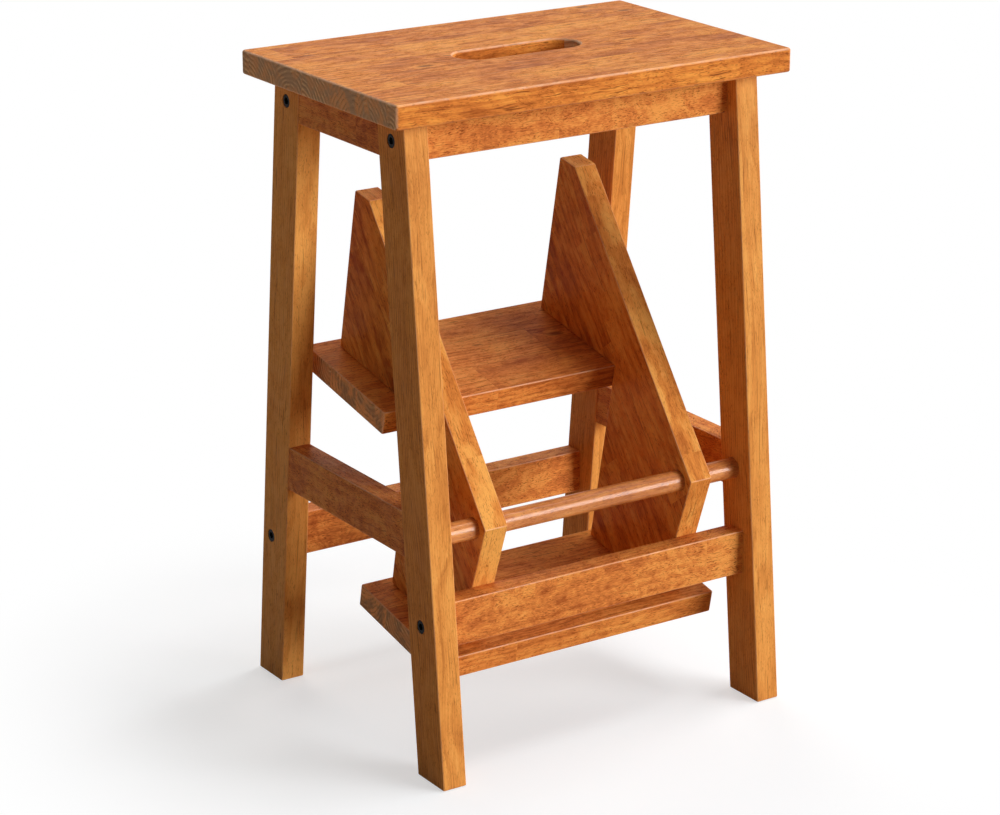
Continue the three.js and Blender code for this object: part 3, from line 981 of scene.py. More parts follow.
def inside(point: Vector, ring: Sequence[Vector]) -> bool:
    """Counts the sides of a ring that a ray from a point crosses.

    Args:
        point: The point.
        ring: The ring's points.

    Returns:
        Whether the point lies within the ring.
    """
    crossed = False
    for a, b in sides_of(ring):
        if (a.y > point.y) != (b.y > point.y):
            crossed ^= point.x < a.x + (b.x - a.x) * (point.y - a.y) / (b.y - a.y)
    return crossed


def along_x(point: Vector) -> Vector:
    """Turns a mesh that runs along Z so that it runs along X."""
    return Vector((point.z, point.x, point.y))


def along_y(point: Vector) -> Vector:
    """Turns a mesh that runs along Z so that it runs along Y."""
    return Vector((point.y, point.z, point.x))


def shifted(x: float, y: float, z: float) -> Callable[[Vector], Vector]:
    """A move by fixed distances."""
    return lambda point: point + Vector((x, y, z))


def circle(radius: float, sides: int) -> Loop:
    """The points of a circle round the origin, anticlockwise."""
    turns = [2 * math.pi * k / sides for k in range(sides)]
    return [Vector((radius * math.cos(turn), radius * math.sin(turn))) for turn in turns]


def round_bar(radius: float, length: float, sides: int = 64, arris: float = 0.0) -> Mesh:
    """Makes a round bar along Z, centred on the origin.

    Args:
        radius: Its radius.
        length: Its length.
        sides: How many sides it has.
        arris: The radius of its ends' arrises, or 0 for sharp ends.

    Returns:
        The bar's mesh.
    """
    bar = prism([circle(radius, sides)], length, arris)
    bar.arris = [0.0] * len(bar.arris)
    return bar.moved(shifted(0.0, 0.0, -length / 2))


def bore(start: Vector, end: Vector, radius: float) -> Mesh:
    """The shape of a round hole from one point to another.

    Args:
        start: The middle of one end.
        end: The middle of the other end.
        radius: The hole's radius.

    Returns:
        The hole's mesh.
    """
    turn = Z.rotation_difference(end - start)
    middle = (start + end) / 2
    bar = round_bar(radius, (end - start).length, BORE_SIDES)
    return bar.moved(lambda point: turn @ point + middle)


class Joinery:
    """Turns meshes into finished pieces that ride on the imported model."""

    sharp_wood: float = 42.0
    sharp_steel: float = 30.0
    face_weight: int = 90
    # Arris faces that look further down than this keep only a share of the painted highlight and of the
    # arris coat, since light falls from above.
    downward: float = -0.2
    downward_highlight: float = 0.2

    def __init__(self, holes: dict[str, list[Mesh]]) -> None:
        """Takes the holes of each piece, by the piece's name, and has no material yet."""
        self.holes = holes
        self.materials: dict[str, bpy.types.Material] = {}

    def material(self, finish: WoodFinish | SteelFinish | DowelFinish) -> bpy.types.Material:
        """Makes the material of a finish, once.

        Args:
            finish: The finish.

        Returns:
            The material.
        """
        if finish.name not in self.materials:
            self.materials[finish.name] = finish.material()
        return self.materials[finish.name]

    def solid(self, name: str, mesh: Mesh) -> bpy.types.Object:
        """Makes a bare object.

        Args:
            name: Its name.
            mesh: Its mesh, in millimetres.

        Returns:
            The object.
        """
        data = bpy.data.meshes.new(name)
        data.from_pydata([tuple(p * MM) for p in mesh.points], [], mesh.faces)
        mark = data.attributes.new("arris", "FLOAT", "FACE")
        mark.data.foreach_set("value", mesh.arris)
        return placed(name, data)

    def combine(self, piece: bpy.types.Object, operation: str, tools: Iterable[Mesh]) -> None:
        """Joins shapes to a piece, or cuts them out of it.

        Args:
            piece: The piece.
            operation: UNION or DIFFERENCE.
            tools: The shapes.
        """
        for tool in tools:
            cutter = self.solid("cutter", tool)
            cut = piece.modifiers.new("cut", "BOOLEAN")
            cut.operation, cut.solver, cut.object = operation, "EXACT", cutter
            bpy.context.view_layer.update()
            depsgraph = bpy.context.evaluated_depsgraph_get()
            fresh = bpy.data.meshes.new_from_object(piece.evaluated_get(depsgraph))
            piece.modifiers.clear()
            piece.data = fresh
            bpy.data.objects.remove(cutter)

    def board(
        self,
        name: str,
        mesh: Mesh,
        stock: Stock,
        finish: WoodFinish,
        body: str,
        tenons: Iterable[Mesh] = (),
        mortises: Iterable[Mesh] = (),
    ) -> bpy.types.Object:
        """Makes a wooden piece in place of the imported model's node of the same name.

        Args:
            name: The node's name.
            mesh: The piece's mesh, in place.
            stock: How its grain lies.
            finish: Its finish.
            body: The body that it rides on.
            tenons: What is joined to it.
            mortises: What is cut away besides its round holes.

        Returns:
            The finished piece.
        """
        piece = self.solid(f"{name}_wood", mesh)
        self.combine(piece, "UNION", tenons)
        self.combine(piece, "DIFFERENCE", [*mortises, *self.holes.get(name, [])])
        self._mark_grain(piece.data, stock)
        piece.data.shade_smooth()
        even = piece.modifiers.new("even_shading", "WEIGHTED_NORMAL")
        even.weight, even.keep_sharp = self.face_weight, True
        piece.data.set_sharp_from_angle(angle=math.radians(self.sharp_wood))
        return self._fit(piece, name, finish, body)

    def fastener(self, name: str, mesh: Mesh, finish: SteelFinish, body: str) -> bpy.types.Object:
        """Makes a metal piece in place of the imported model's node of the same name.

        Args:
            name: The node's name.
            mesh: The piece's mesh, in place.
            finish: Its finish.
            body: The body that it rides on.

        Returns:
            The finished piece.
        """
        piece = self.solid(f"{name}_steel", mesh)
        piece.data.shade_smooth()
        piece.data.set_sharp_from_angle(angle=math.radians(self.sharp_steel))
        return self._fit(piece, name, finish, body)

    def carry_over(self, name: str, finish: SteelFinish | DowelFinish) -> None:
        """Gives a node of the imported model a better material.

        Args:
            name: The node's name.
            finish: The finish.
        """
        node = frame["nodes"][name]
        node.data.materials.clear()
        node.data.materials.append(self.material(finish))
        log.info("%s keeps its solid, in %s", name, finish.name)

    def _fit(
        self, piece: bpy.types.Object, name: str, finish: WoodFinish | SteelFinish, body: str,
    ) -> bpy.types.Object:
        """Gives a piece its material and body, and hides the node that it replaces.

        Args:
            piece: The piece.
            name: The node that it replaces.
            finish: Its finish.
            body: The body that it rides on.

        Returns:
            The same piece.
        """
        piece.data.materials.clear()
        piece.data.materials.append(self.material(finish))
        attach(piece, body)
        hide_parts(name)
        log.info("%s: %d faces, in %s", piece.name, len(piece.data.polygons), finish.name)
        return piece

    def _mark_grain(self, data: bpy.types.Mesh, stock: Stock) -> None:
        """Writes how each face lies in the stock, and weakens the arris mark on faces that look down, so
        that the painted highlight falls on the upper arrises only.

        Args:
            data: The piece's mesh.
            stock: How its grain lies.
        """
        places, ends, strips = stock.places(data)
        data.attributes.new("grain", "FLOAT_VECTOR", "CORNER").data.foreach_set("vector", places)
        data.attributes.new("end", "FLOAT", "FACE").data.foreach_set("value", ends)
        data.attributes.new("strip", "FLOAT", "FACE").data.foreach_set("value", strips)
        for face, mark in zip(data.polygons, data.attributes["arris"].data):
            # Painted highlight: arrises that face down lose most of their pale colour and arris coat.
            mark.value *= 1.0 if face.normal.z > self.downward else self.downward_highlight


# Sub-assemblies


SIDES = {"left": -1.0, "right": 1.0}
ENDS = {"front": -1.0, "back": 1.0}
FRAME_BODY = "stool_frame"
STEP_BODY = "step_unit"


@dataclass
class SeatBoard:
    """The seat board with its hand slot."""

    length: float = 412.0
    depth: float = 262.0
    thickness: float = 22.0
    top: float = 610.0
    corner: float = 3.0
    arris: float = 2.4
    round_steps: int = 6
    slot_length: float = 128.0
    slot_width: float = 40.0
    slot_steps: int = 28

    def build(self, shop: Joinery) -> None:
        """Makes the board.

        Args:
            shop: The shop that makes the pieces.
        """
        steps = self.round_steps
        outline = rounded(rectangle(self.length, self.depth), self.corner, steps)
        slot = slot_outline(self.slot_length, self.slot_width, self.slot_steps)
        mesh = prism([outline, slot], self.thickness, self.arris, steps, steps)
        mesh = mesh.moved(shifted(0.0, 0.0, self.top - self.thickness))
        centre = Vector((0.0, 0.0, self.top - self.thickness / 2))
        shop.board("seat_board", mesh, Stock(X, Y, centre, seed=0), SEAT_WOOD, FRAME_BODY)


@dataclass
class LegFrame:
    """The four splayed legs and the rails between them."""

    width: float = 371.0
    leg_width: float = 24.0
    leg_depth: float = 43.0
    height: float = 588.0
    spread_top: float = 216.5
    spread_floor: float = 330.5
    leg_corner: float = 1.5
    leg_end_arris: float = 1.0
    end_steps: int = 3
    corner_steps: int = 4
    rail_thickness: float = 21.0
    rail_corner: float = 1.2
    apron_height: float = 38.0
    apron_setback: float = 12.0
    stretcher_height: float = 42.0
    stretcher_bottom: float = 120.5
    front_setback: float = 13.0
    side_thickness: float = 22.0
    side_apron_height: float = 36.0
    side_stretcher_bottom: float = 199.5
    shoulder_gap: float = 0.2
    tenon_length: float = 9.0
    tenon_thickness: float = 8.0
    tenon_shoulder: float = 8.0
    tenon_offset: float = 3.5
    tenon_room: float = 0.3

    @property
    def inner_x(self) -> float:
        """Distance of the legs' inner faces from the middle."""
        return self.width / 2 - self.leg_width

    @property
    def centre_x(self) -> float:
        """Distance of the legs' centre lines from the middle."""
        return self.width / 2 - self.leg_width / 2

    @property
    def slope(self) -> float:
        """How far a leg leans for each millimetre of height."""
        return (self.spread_floor - self.spread_top) / 2 / self.height

    @property
    def long_rails(self) -> dict[str, Pair]:
        """The bottom and the height of each kind of rail between the side frames."""
        apron = (self.height - self.apron_height, self.apron_height)
        return {"apron": apron, "stretcher": (self.stretcher_bottom, self.stretcher_height)}

    @property
    def side_rails(self) -> dict[str, Pair]:
        """The bottom and the height of each kind of rail in a side frame."""
        apron = (self.height - self.side_apron_height, self.side_apron_height)
        return {"apron": apron, "stretcher": (self.side_stretcher_bottom, self.stretcher_height)}

    def outer_y(self, height: float) -> float:
        """Distance of a leg's outer face from the middle plane, at a height."""
        return self.spread_top / 2 + self.slope * (self.height - height)

    def inner_y(self, height: float) -> float:
        """Distance of a leg's inner face from the middle plane, at a height."""
        return self.outer_y(height) - self.leg_depth

    def build(self, shop: Joinery) -> None:
        """Makes the legs and rails.

        Args:
            shop: The shop that makes the pieces.
        """
        seeds = count(1)
        for side, x in SIDES.items():
            for end, y in ENDS.items():
                self._leg(shop, f"leg_{end}_{side}", x, y, next(seeds))
        for end, y in ENDS.items():
            stretcher_setback = self.front_setback if end == "front" else 0.0
            setbacks = {"apron": self.apron_setback, "stretcher": stretcher_setback}
            for kind, (bottom, height) in self.long_rails.items():
                face = self.outer_y(bottom + height) - setbacks[kind]
                middle = y * (face - self.rail_thickness / 2)
                self._long_rail(shop, f"{kind}_{end}", middle, bottom, height, next(seeds))
        for side, x in SIDES.items():
            for kind, (bottom, height) in self.side_rails.items():
                self._side_rail(shop, f"{kind}_{side}", x, bottom, height, next(seeds))

    def _leg(self, shop: Joinery, name: str, x: float, y: float, seed: int) -> None:
        """Makes one leg, its top and bottom cut level.

        Args:
            shop: The shop that makes the pieces.
            name: The leg's name.
            x: The side, -1 for left and 1 for right.
            y: The end, -1 for front and 1 for back.
            seed: Which stock it is cut from.
        """
        outline = rounded(rectangle(self.leg_width, self.leg_depth), self.leg_corner, self.corner_steps)
        middle = self.outer_y(0.0) - self.leg_depth / 2
        mesh = prism([outline], self.height, self.leg_end_arris, self.end_steps, self.corner_steps)
        mesh = mesh.moved(
            lambda p: Vector((p.x + x * self.centre_x, p.y + y * (middle - self.slope * p.z), p.z))
        )
        cuts = [self._tenon(x, y, bottom + height / 2, height, self.tenon_room)
                for bottom, height in self.side_rails.values()]
        lean = Vector((0.0, -y * self.slope, 1.0))
        half = self.height / 2
        centre = Vector((x * self.centre_x, y * (middle - self.slope * half), half))
        shop.board(name, mesh, Stock(lean, X, centre, seed), LEG_WOOD, FRAME_BODY, mortises=cuts)

    def _long_rail(
        self, shop: Joinery, name: str, y: float, bottom: float, height: float, seed: int,
    ) -> None:
        """Makes one rail between the two side frames.

        Args:
            shop: The shop that makes the pieces.
            name: The rail's name.
            y: Where its middle lies.
            bottom: The height of its bottom.
            height: Its own height.
            seed: Which stock it is cut from.
        """
        outline = rounded(rectangle(self.rail_thickness, height), self.rail_corner, self.corner_steps)
        centre = Vector((0.0, y, bottom + height / 2))
        mesh = prism([outline], 2 * self.inner_x, 0.0, corner_steps=self.corner_steps)
        mesh = mesh.moved(shifted(0.0, 0.0, -self.inner_x)).moved(along_x).moved(shifted(*centre))
        shop.board(name, mesh, Stock(X, Z, centre, seed), RAIL_WOOD, FRAME_BODY)

    def _side_rail(
        self, shop: Joinery, name: str, x: float, bottom: float, height: float, seed: int,
    ) -> None:
        """Makes one rail of a side frame, with ends that follow the legs and a tenon at each.

        Args:
            shop: The shop that makes the pieces.
            name: The rail's name.
            x: The side, -1 for left and 1 for right.
            bottom: The height of its bottom.
            height: Its own height.
            seed: Which stock it is cut from.
        """
        outline = rounded(rectangle(height, self.side_thickness), self.rail_corner, self.corner_steps)
        middle = bottom + height / 2
        centre = Vector((x * self.centre_x, 0.0, middle))

        def to_leg(p: Vector) -> Vector:
            """Moves the bar's ends to the legs."""
            reach = self.inner_y(middle + p.z) - self.shoulder_gap
            return Vector((p.x, math.copysign(reach, p.y), p.z))

        half = self.inner_y(middle)
        mesh = prism([outline], 2 * half, 0.0, corner_steps=self.corner_steps)
        mesh = mesh.moved(shifted(0.0, 0.0, -half)).moved(along_y).moved(to_leg).moved(shifted(*centre))
        tenons = [self._tenon(x, y, middle, height) for y in ENDS.values()]
        shop.board(name, mesh, Stock(Y, Z, centre, seed), RAIL_WOOD, FRAME_BODY, tenons)

    def _tenon(self, x: float, y: float, middle: float, height: float, room: float = 0.0) -> Mesh:
        """A side rail's tenon, or with some room round it the mortise that takes it.

        Args:
            x: The side, -1 for left and 1 for right.
            y: The end, -1 for front and 1 for back.
            middle: The height of the rail's middle.
            height: The rail's own height.
            room: The room round the tenon.

        Returns:
            The tenon's mesh.
        """
        section = rectangle(height - 2 * (self.tenon_shoulder - room), self.tenon_thickness + 2 * room)
        start = self.inner_y(middle + height / 2) - self.shoulder_gap
        length = self.inner_y(middle) + self.tenon_length + room - start
        low = start if y > 0 else -start - length
        stub = prism([section], length, 0.0).moved(shifted(0.0, 0.0, low)).moved(along_y)
        return stub.moved(shifted(x * (self.centre_x + self.tenon_offset), 0.0, middle))


@dataclass
class Bolts:
    """The socket-head bolts that hold the long rails to the legs, whose faces are inner_x and outer_x."""

    places: list[Vector]
    names: list[str]
    inner_x: float = 161.5
    outer_x: float = 185.5
    recess: float = 0.4
    head_radius: float = 6.0
    head_height: float = 4.0
    head_arris: float = 0.6
    shank_radius: float = 3.0
    reach: float = 32.0
    hex_sides: int = 6
    hex_width: float = 6.0
    hex_depth: float = 2.5
    sides: int = 48
    rim_steps: int = 4

    @classmethod
    def from_frame(cls) -> "Bolts":
        """Reads the bolts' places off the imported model.

        Returns:
            The bolts.
        """
        names = sorted(name for name in frame["nodes"] if name.startswith("bolt_"))
        places = []
        for name in names:
            low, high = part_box(name)
            places.append((low + high) / 2 / MM)
        return cls(places=places, names=names)

    def head_hole(self, place: Vector, clearance: float, overrun: float) -> Mesh:
        """The hole in a leg that a bolt's head lies in.

        Args:
            place: The bolt's middle.
            clearance: The room round the head.
            overrun: How far the hole runs past the leg's face.

        Returns:
            The hole's mesh.
        """
        side = math.copysign(1.0, place.x)
        start, end = (
            Vector((side * (self.outer_x + past), place.y, place.z))
            for past in (overrun, -self.head_height - self.recess - clearance)
        )
        return bore(start, end, self.head_radius + clearance)

    def build(self, shop: Joinery) -> None:
        """Makes the bolts.

        Args:
            shop: The shop that makes the pieces.
        """
        for name, place in zip(self.names, self.places):
            side = math.copysign(1.0, place.x)
            mesh = self._bolt().moved(
                lambda p: Vector((side * p.z, side * p.x + place.y, p.y + place.z))
            )
            shop.fastener(name, mesh, BLACK_STEEL, FRAME_BODY)

    def _bolt(self) -> Mesh:
        """Makes a bolt along Z: shank, head with a rounded rim and hexagonal socket.

        Returns:
            The bolt's mesh.
        """
        top = self.outer_x - self.recess
        steps = [math.radians(90.0 * k / self.rim_steps) for k in range(self.rim_steps + 1)]
        rim = [(self.head_radius - self.head_arris * (1 - math.cos(a)),
                top - self.head_arris * (1 - math.sin(a))) for a in steps]
        shoulder = top - self.head_height
        profile = [(self.shank_radius, self.inner_x - self.reach), (self.shank_radius, shoulder),
                   (self.head_radius, shoulder), *rim]
        made = Mesh()
        rings = [made.ring(circle(radius, self.sides), z) for radius, z in profile]
        for low, high in zip(rings, rings[1:]):
            made.wall(low, high)
        made.faces.append(tuple(reversed(rings[0])))
        socket = circle(self.hex_width / 2 / math.cos(math.pi / self.hex_sides), self.hex_sides)
        mouth, bottom = (made.ring(socket, z) for z in (top, top - self.hex_depth))
        made.faces += filled(made.points, [rings[-1], mouth])
        made.wall(mouth, bottom)
        made.faces.append(tuple(bottom))
        made.arris = [0.0] * len(made.faces)
        return made


@dataclass
class StepUnit:
    """The two step plates, the treads and the pivot rod, stored under the seat."""

    rod_height: float = 219.0
    rod_radius: float = 9.5
    rod_reach: float = 170.2
    first_rise: float = 181.0
    second_rise: float = 365.0
    riser_run: float = 117.0
    front_run: float = 242.99
    foot_width: float = 24.5
    heel_run: float = 18.0
    heel_drop: float = 7.0
    back_run: float = 1.0
    plate_thickness: float = 24.0
    plate_x: float = 111.5
    plate_arris: float = 1.2
    plate_corner: float = 2.0
    tread_length: float = 302.0
    tread_depth: float = 140.0
    tread_thickness: float = 22.0
    tread_arris: float = 1.3
    tread_corner: float = 2.0
    nosing: float = 9.0
    gap: float = 0.3
    plate_steps: int = 4
    tread_steps: int = 5
    rod_sides: int = 96
    rod_arris: float = 0.5
    plate_seed: int = 40
    tread_seed: int = 44
    rod_seed: int = 46

    def __post_init__(self) -> None:
        """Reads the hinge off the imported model."""
        hinge = frame["joints"][0]
        self.pivot = Vector(hinge["pos_m"]) / MM
        self.swing = math.radians(hinge["range_deg"][1])

    def stored(self, point: Vector) -> Vector:
        """A point of the unit in use, measured from the rod, swung back to where it is stored."""
        return self.pivot + Matrix.Rotation(-self.swing, 3, "X") @ point

    def stored_side(self, point: Vector, x: float = 0.0) -> Vector:
        """A point of the unit's side view, swung back to where it is stored."""
        return self.stored(Vector((x, *point)))

    def side_point(self, run: float, rise: float) -> Vector:
        """A point in the unit's side view, from its run and rise in use."""
        return Vector((-run, rise - self.rod_height))

    def build(self, shop: Joinery) -> None:
        """Makes the unit.

        Args:
            shop: The shop that makes the pieces.
        """
        for k, (side, x) in enumerate(SIDES.items()):
            self._plate(shop, f"step_plate_{side}", x, self.plate_seed + k)
        front, seed = self.riser_run + self.gap + self.tread_depth, self.tread_seed
        self._tread(shop, "step_tread_first", front, self.first_rise, seed)
        self._tread(shop, "step_tread_second", self.riser_run + self.nosing, self.second_rise, seed + 1)
        bar = round_bar(self.rod_radius, 2 * self.rod_reach, self.rod_sides, self.rod_arris)
        bar = bar.moved(along_x).moved(self.stored)
        shop.board("pivot_rod", bar, Stock(X, Z, self.pivot, self.rod_seed), ROD_WOOD, STEP_BODY)

    def _plate(self, shop: Joinery, name: str, x: float, seed: int) -> None:
        """Makes one stair-shaped plate.

        Args:
            shop: The shop that makes the pieces.
            name: The plate's name.
            x: The side, -1 for left and 1 for right.
            seed: Which stock it is cut from.
        """
        first = self.first_rise - self.tread_thickness - self.gap
        second = self.second_rise - self.tread_thickness - self.gap
        heel = self.side_point(-self.heel_run, self.rod_height - self.heel_drop)
        foot = self.side_point(self.front_run - self.foot_width, 0.0)
        corners = [
            foot,
            heel,
            self.side_point(self.back_run, second),
            self.side_point(self.riser_run, second),
            self.side_point(self.riser_run, first),
            self.side_point(self.front_run, first),
            self.side_point(self.front_run, 0.0),
        ]
        steps = self.plate_steps
        outline = rounded(corners, self.plate_corner, steps)
        mesh = prism([outline], self.plate_thickness, self.plate_arris, steps, steps)
        mesh = mesh.moved(shifted(0.0, 0.0, -self.plate_thickness / 2)).moved(along_x)
        mesh = mesh.moved(shifted(x * self.plate_x, 0.0, 0.0)).moved(self.stored)
        sides = [self.stored_side(b) - self.stored_side(a) for a, b in sides_of(corners)]
        back = self.stored_side(foot) - self.stored_side(heel)
        middle = sum(corners, Vector((0.0, 0.0))) / len(corners)
        centre = self.stored_side(middle, x * self.plate_x)
        edges = tuple(side.cross(X).normalized() for side in sides)
        stock = Stock(back, back.cross(X), centre, seed, edges)
        shop.board(name, mesh, stock, PLATE_WOOD, STEP_BODY)

    def _tread(self, shop: Joinery, name: str, front: float, height: float, seed: int) -> None:
        """Makes one tread.

        Args:
            shop: The shop that makes the pieces.
            name: The tread's name.
            front: The run of its front edge.
            height: The rise of its top.
            seed: Which stock it is cut from.
        """
        steps = self.tread_steps
        outline = rounded(rectangle(self.tread_length, self.tread_depth), self.tread_corner, steps)
        corner = self.side_point(front, height - self.tread_thickness)
        mesh = prism([outline], self.tread_thickness, self.tread_arris, steps, steps)
        mesh = mesh.moved(shifted(0.0, corner.x + self.tread_depth / 2, corner.y)).moved(self.stored)
        across = self.stored(Y) - self.stored(Vector())
        middle = Vector((0.0, corner.x + self.tread_depth / 2, corner.y + self.tread_thickness / 2))
        shop.board(name, mesh, Stock(X, across, self.stored(middle), seed), TREAD_WOOD, STEP_BODY)


@dataclass
class Bores:
    """The round holes for the rod and the fittings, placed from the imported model's own fittings."""

    bolts: Bolts
    steps: StepUnit
    slack: float = 0.3
    overrun: float = 1.0
    screw_radius: float = 2.0
    screw_head_height: float = 3.0
    counterbore: float = 12.0
    dowel_radius: float = 4.0
    dowel_length: float = 30.0

    def drill(self) -> dict[str, list[Mesh]]:
        """Makes the holes.

        Returns:
            The holes of each piece, by the piece's name.
        """
        holes: dict[str, list[Mesh]] = defaultdict(list)
        reach = X * (self.steps.rod_reach + self.slack)
        for piece in ("leg_front_left", "leg_front_right", "step_plate_left", "step_plate_right"):
            holes[piece].append(self._through(self.steps.pivot, reach, self.steps.rod_radius))
        for name in frame["nodes"]:
            words = name.split("_")
            low, high = (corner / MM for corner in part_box(name))
            if words[0] in ("bolt", "dowel"):
                self._rail_bore(holes, words, (low + high) / 2, (high - low) / 2)
            elif words[0] == "barrel":
                rail = "_".join(words[2:4])
                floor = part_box(rail)[0].z / MM - self.overrun
                top = high.z + self.slack
                middle = Vector(((low.x + high.x) / 2, (low.y + high.y) / 2, (floor + top) / 2))
                holes[rail].append(self._through(middle, Z * (top - floor) / 2, (high.x - low.x) / 2))
            elif words[:2] == ["seat", "screw"]:
                self._screw_bore(holes, f"apron_{words[2]}", low, high)
            elif words[0] == "tread":
                half = (self.steps.stored(Z) - self.steps.pivot) * (self.dowel_length / 2 + self.slack)
                for piece in (f"step_tread_{words[2]}", f"step_plate_{words[3]}"):
                    holes[piece].append(self._through((low + high) / 2, half, self.dowel_radius))
        return holes

    def _through(self, middle: Vector, half: Vector, radius: float) -> Mesh:
        """A hole round a bar of some radius, from its middle and half its run."""
        return bore(middle - half, middle + half, radius + self.slack)

    def _rail_bore(
        self, holes: dict[str, list[Mesh]], words: list[str], middle: Vector, half: Vector,
    ) -> None:
        """Bores a leg and a long rail for a bolt or a dowel.

        Args:
            holes: The holes so far, which this one is added to.
            words: The words of the fitting's name.
            middle: The middle of its box.
            half: Half the size of its box.
        """
        leg, rail = f"leg_{words[2]}_{words[3]}", "_".join(words[1:3])
        radius = half.y
        if words[0] == "bolt":
            radius = self.bolts.shank_radius
            holes[leg].append(self.bolts.head_hole(middle, self.slack, self.overrun))
        for piece in (leg, rail):
            holes[piece].append(self._through(middle, X * (half.x + self.slack), radius))

    def _screw_bore(self, holes: dict[str, list[Mesh]], apron: str, low: Vector, high: Vector) -> None:
        """Bores an apron and the seat board for a screw.

        Args:
            holes: The holes so far, which this one is added to.
            apron: The apron's name.
            low: The lowest corner of the screw's box.
            high: The highest corner of the screw's box.
        """
        foot = Vector(((low.x + high.x) / 2, (low.y + high.y) / 2, low.z))
        tip = foot + Z * (high.z - low.z + self.slack)
        for piece in ("seat_board", apron):
            holes[piece].append(bore(foot, tip, self.screw_radius + self.slack))
        start = foot - Z * (self.counterbore + self.overrun)
        end = foot + Z * (self.screw_head_height + self.slack)
        holes[apron].append(bore(start, end, (high.x - low.x) / 2 + self.slack))


def dress_fittings(shop: Joinery) -> None:
    """Gives the hidden nuts, screws and dowels their materials.

    Args:
        shop: The shop that holds the materials.
    """
    for name in frame["nodes"]:
        if name.startswith(("barrel_nut_", "seat_screw_")):
            shop.carry_over(name, ZINC_STEEL)
        elif name.startswith(("dowel_", "tread_dowel_")):
            shop.carry_over(name, BARE_DOWEL)


# Studio


@dataclass(frozen=True)
class Lamp:
    """A far, soft lamp. Its azimuth goes from the front to the right, its height up from the floor."""

    name: str
    azimuth: float
    height: float
    strength: float
    softness: float
    colour: Colour = (1.0, 1.0, 1.0)


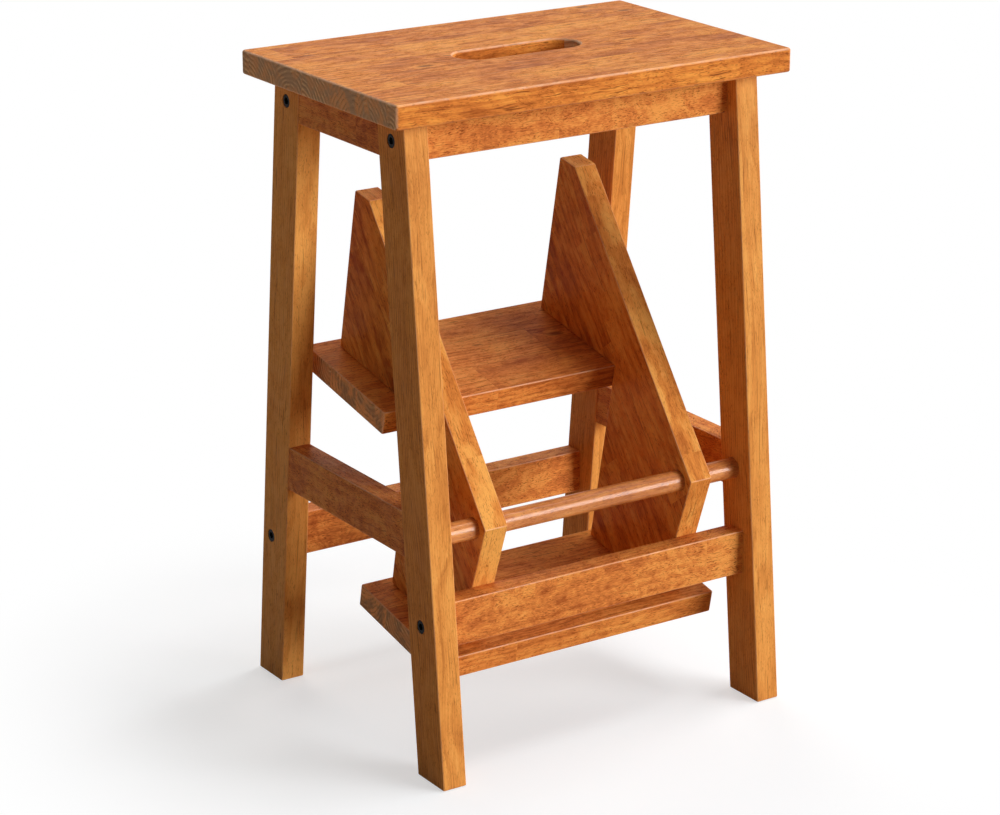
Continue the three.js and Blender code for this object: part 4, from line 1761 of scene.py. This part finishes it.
@dataclass
class Studio:
    """The floor, the lamps, the background and the camera."""

    lamps: tuple[Lamp, ...] = (
        Lamp("key_lamp", azimuth=36.0, height=13.0, strength=3.3, softness=34.0),
        Lamp("right_lamp", azimuth=100.0, height=30.0, strength=0.4, softness=20.0),
        Lamp("high_lamp", azimuth=82.0, height=70.0, strength=1.2, softness=24.0),
        Lamp("top_lamp", azimuth=0.0, height=88.0, strength=0.15, softness=50.0),
        Lamp("back_lamp", azimuth=165.0, height=36.0, strength=0.8, softness=34.0,
             colour=(1.0, 0.93, 0.83)),
        Lamp("left_lamp", azimuth=-68.0, height=14.0, strength=0.17, softness=60.0),
    )
    ambient: float = 0.02
    lamp_distance: float = 3000.0
    floor_size: float = 30000.0
    floor_gap: float = 0.5
    floor_bounce: Colour = (0.42, 0.32, 0.22)
    floor_paper: Colour = (0.485, 0.50, 0.515)
    floor_lift: float = 0.56
    floor_fade: Pair = (300.0, 560.0)
    camera_place: Triple = (-1486.06, -2232.19, 1181.59)
    camera_tilt: float = 71.3057
    camera_yaw: float = -33.3343
    camera_lens: float = 110.652
    camera_sensor: float = 36.0
    camera_reach: float = 100000.0

    def build(self) -> None:
        """Makes the floor, lamps, background and camera."""
        bpy.context.scene.view_settings.view_transform = "Standard"
        self._world()
        self._floor()
        for lamp in self.lamps:
            self._lamp(lamp)
        self._camera()

    @staticmethod
    def _seen(r: Recipe) -> Value:
        """Tells what the camera sees, itself or in a gloss or through glass, from other light.

        Args:
            r: The recipe of the material or world.

        Returns:
            1 for what the camera sees and 0 for other light.
        """
        camera = r.node("ShaderNodeLightPath", {}, {}, "Is Camera Ray")
        outputs = camera.socket.node.outputs
        seen = camera + Value(r, outputs["Is Glossy Ray"]) + Value(r, outputs["Is Transmission Ray"])
        return r.node("ShaderNodeMath", {"operation": "MINIMUM"}, {0: seen, 1: 1.0})

    def _world(self) -> None:
        """White to the eye, and a dim even light on the object."""
        world = bpy.data.worlds.new("studio")
        bpy.context.scene.world = world
        r = Recipe(world)
        dim, white = (
            r.node("ShaderNodeBackground", {}, {"Color": (1.0, 1.0, 1.0), "Strength": strength})
            for strength in (self.ambient, 1.0)
        )
        r.finish(r.node("ShaderNodeMixShader", {}, {0: self._seen(r), 1: dim, 2: white}))

    def _floor(self) -> None:
        """A pale floor that keeps the object's shadow."""
        data = bpy.data.meshes.new("floor")
        corners = rectangle(self.floor_size, self.floor_size)
        points = [Vector((*corner, -self.floor_gap)) * MM for corner in corners]
        data.from_pydata(points, [], [(0, 1, 2, 3)])
        floor = placed("floor", data)
        made = bpy.data.materials.new("floor_paper")
        r = Recipe(made)
        dim, paper = (
            r.node("ShaderNodeBsdfDiffuse", {}, {"Color": tone})
            for tone in (self.floor_bounce, self.floor_paper)
        )
        glow, blank = (r.node("ShaderNodeEmission", {}, {"Strength": strength})
                       for strength in (self.floor_lift, 1.0))
        place = r.node("ShaderNodeNewGeometry", {}, {}, "Position")
        away = r.node("ShaderNodeVectorMath", {"operation": "LENGTH"}, {0: place}, "Value")
        near = r.node("ShaderNodeAddShader", {}, {0: paper, 1: glow})
        fade = r.between(away, self.floor_fade[0] * MM, self.floor_fade[1] * MM)
        white = r.node("ShaderNodeMixShader", {}, {0: fade, 1: near, 2: blank})
        r.finish(r.node("ShaderNodeMixShader", {}, {0: self._seen(r), 1: dim, 2: white}))
        data.materials.append(made)

    def _lamp(self, lamp: Lamp) -> None:
        """Hangs one sun lamp.

        Args:
            lamp: The lamp.
        """
        data = bpy.data.lights.new(lamp.name, "SUN")
        data.energy, data.angle, data.color = lamp.strength, math.radians(lamp.softness), lamp.colour
        made = placed(lamp.name, data)
        a, h = math.radians(lamp.azimuth), math.radians(lamp.height)
        towards = Vector((math.sin(a) * math.cos(h), -math.cos(a) * math.cos(h), math.sin(h)))
        made.rotation_euler = towards.to_track_quat("Z", "Y").to_euler()
        made.location = towards * self.lamp_distance * MM
        log.info("%s at azimuth %.0f, height %.0f", lamp.name, lamp.azimuth, lamp.height)

    def _camera(self) -> None:
        """A plain camera, tilted down at the stool, with no lens shift."""
        data = bpy.data.cameras.new("camera")
        data.sensor_width = self.camera_sensor
        data.lens = self.camera_lens
        data.clip_end = self.camera_reach * MM
        camera = placed("camera", data)
        camera.location = [part * MM for part in self.camera_place]
        camera.rotation_euler = (math.radians(self.camera_tilt), 0.0, math.radians(self.camera_yaw))
        bpy.context.scene.camera = camera


def main() -> None:
    """Builds the stool and its studio, in order."""
    logging.basicConfig(level=logging.INFO, format="%(message)s")
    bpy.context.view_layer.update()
    steps = StepUnit()
    bolts = Bolts.from_frame()
    shop = Joinery(Bores(bolts, steps).drill())
    Studio().build()
    SeatBoard().build(shop)
    LegFrame().build(shop)
    bolts.build(shop)
    steps.build(shop)
    dress_fittings(shop)


if __name__ == "__main__":
    main()
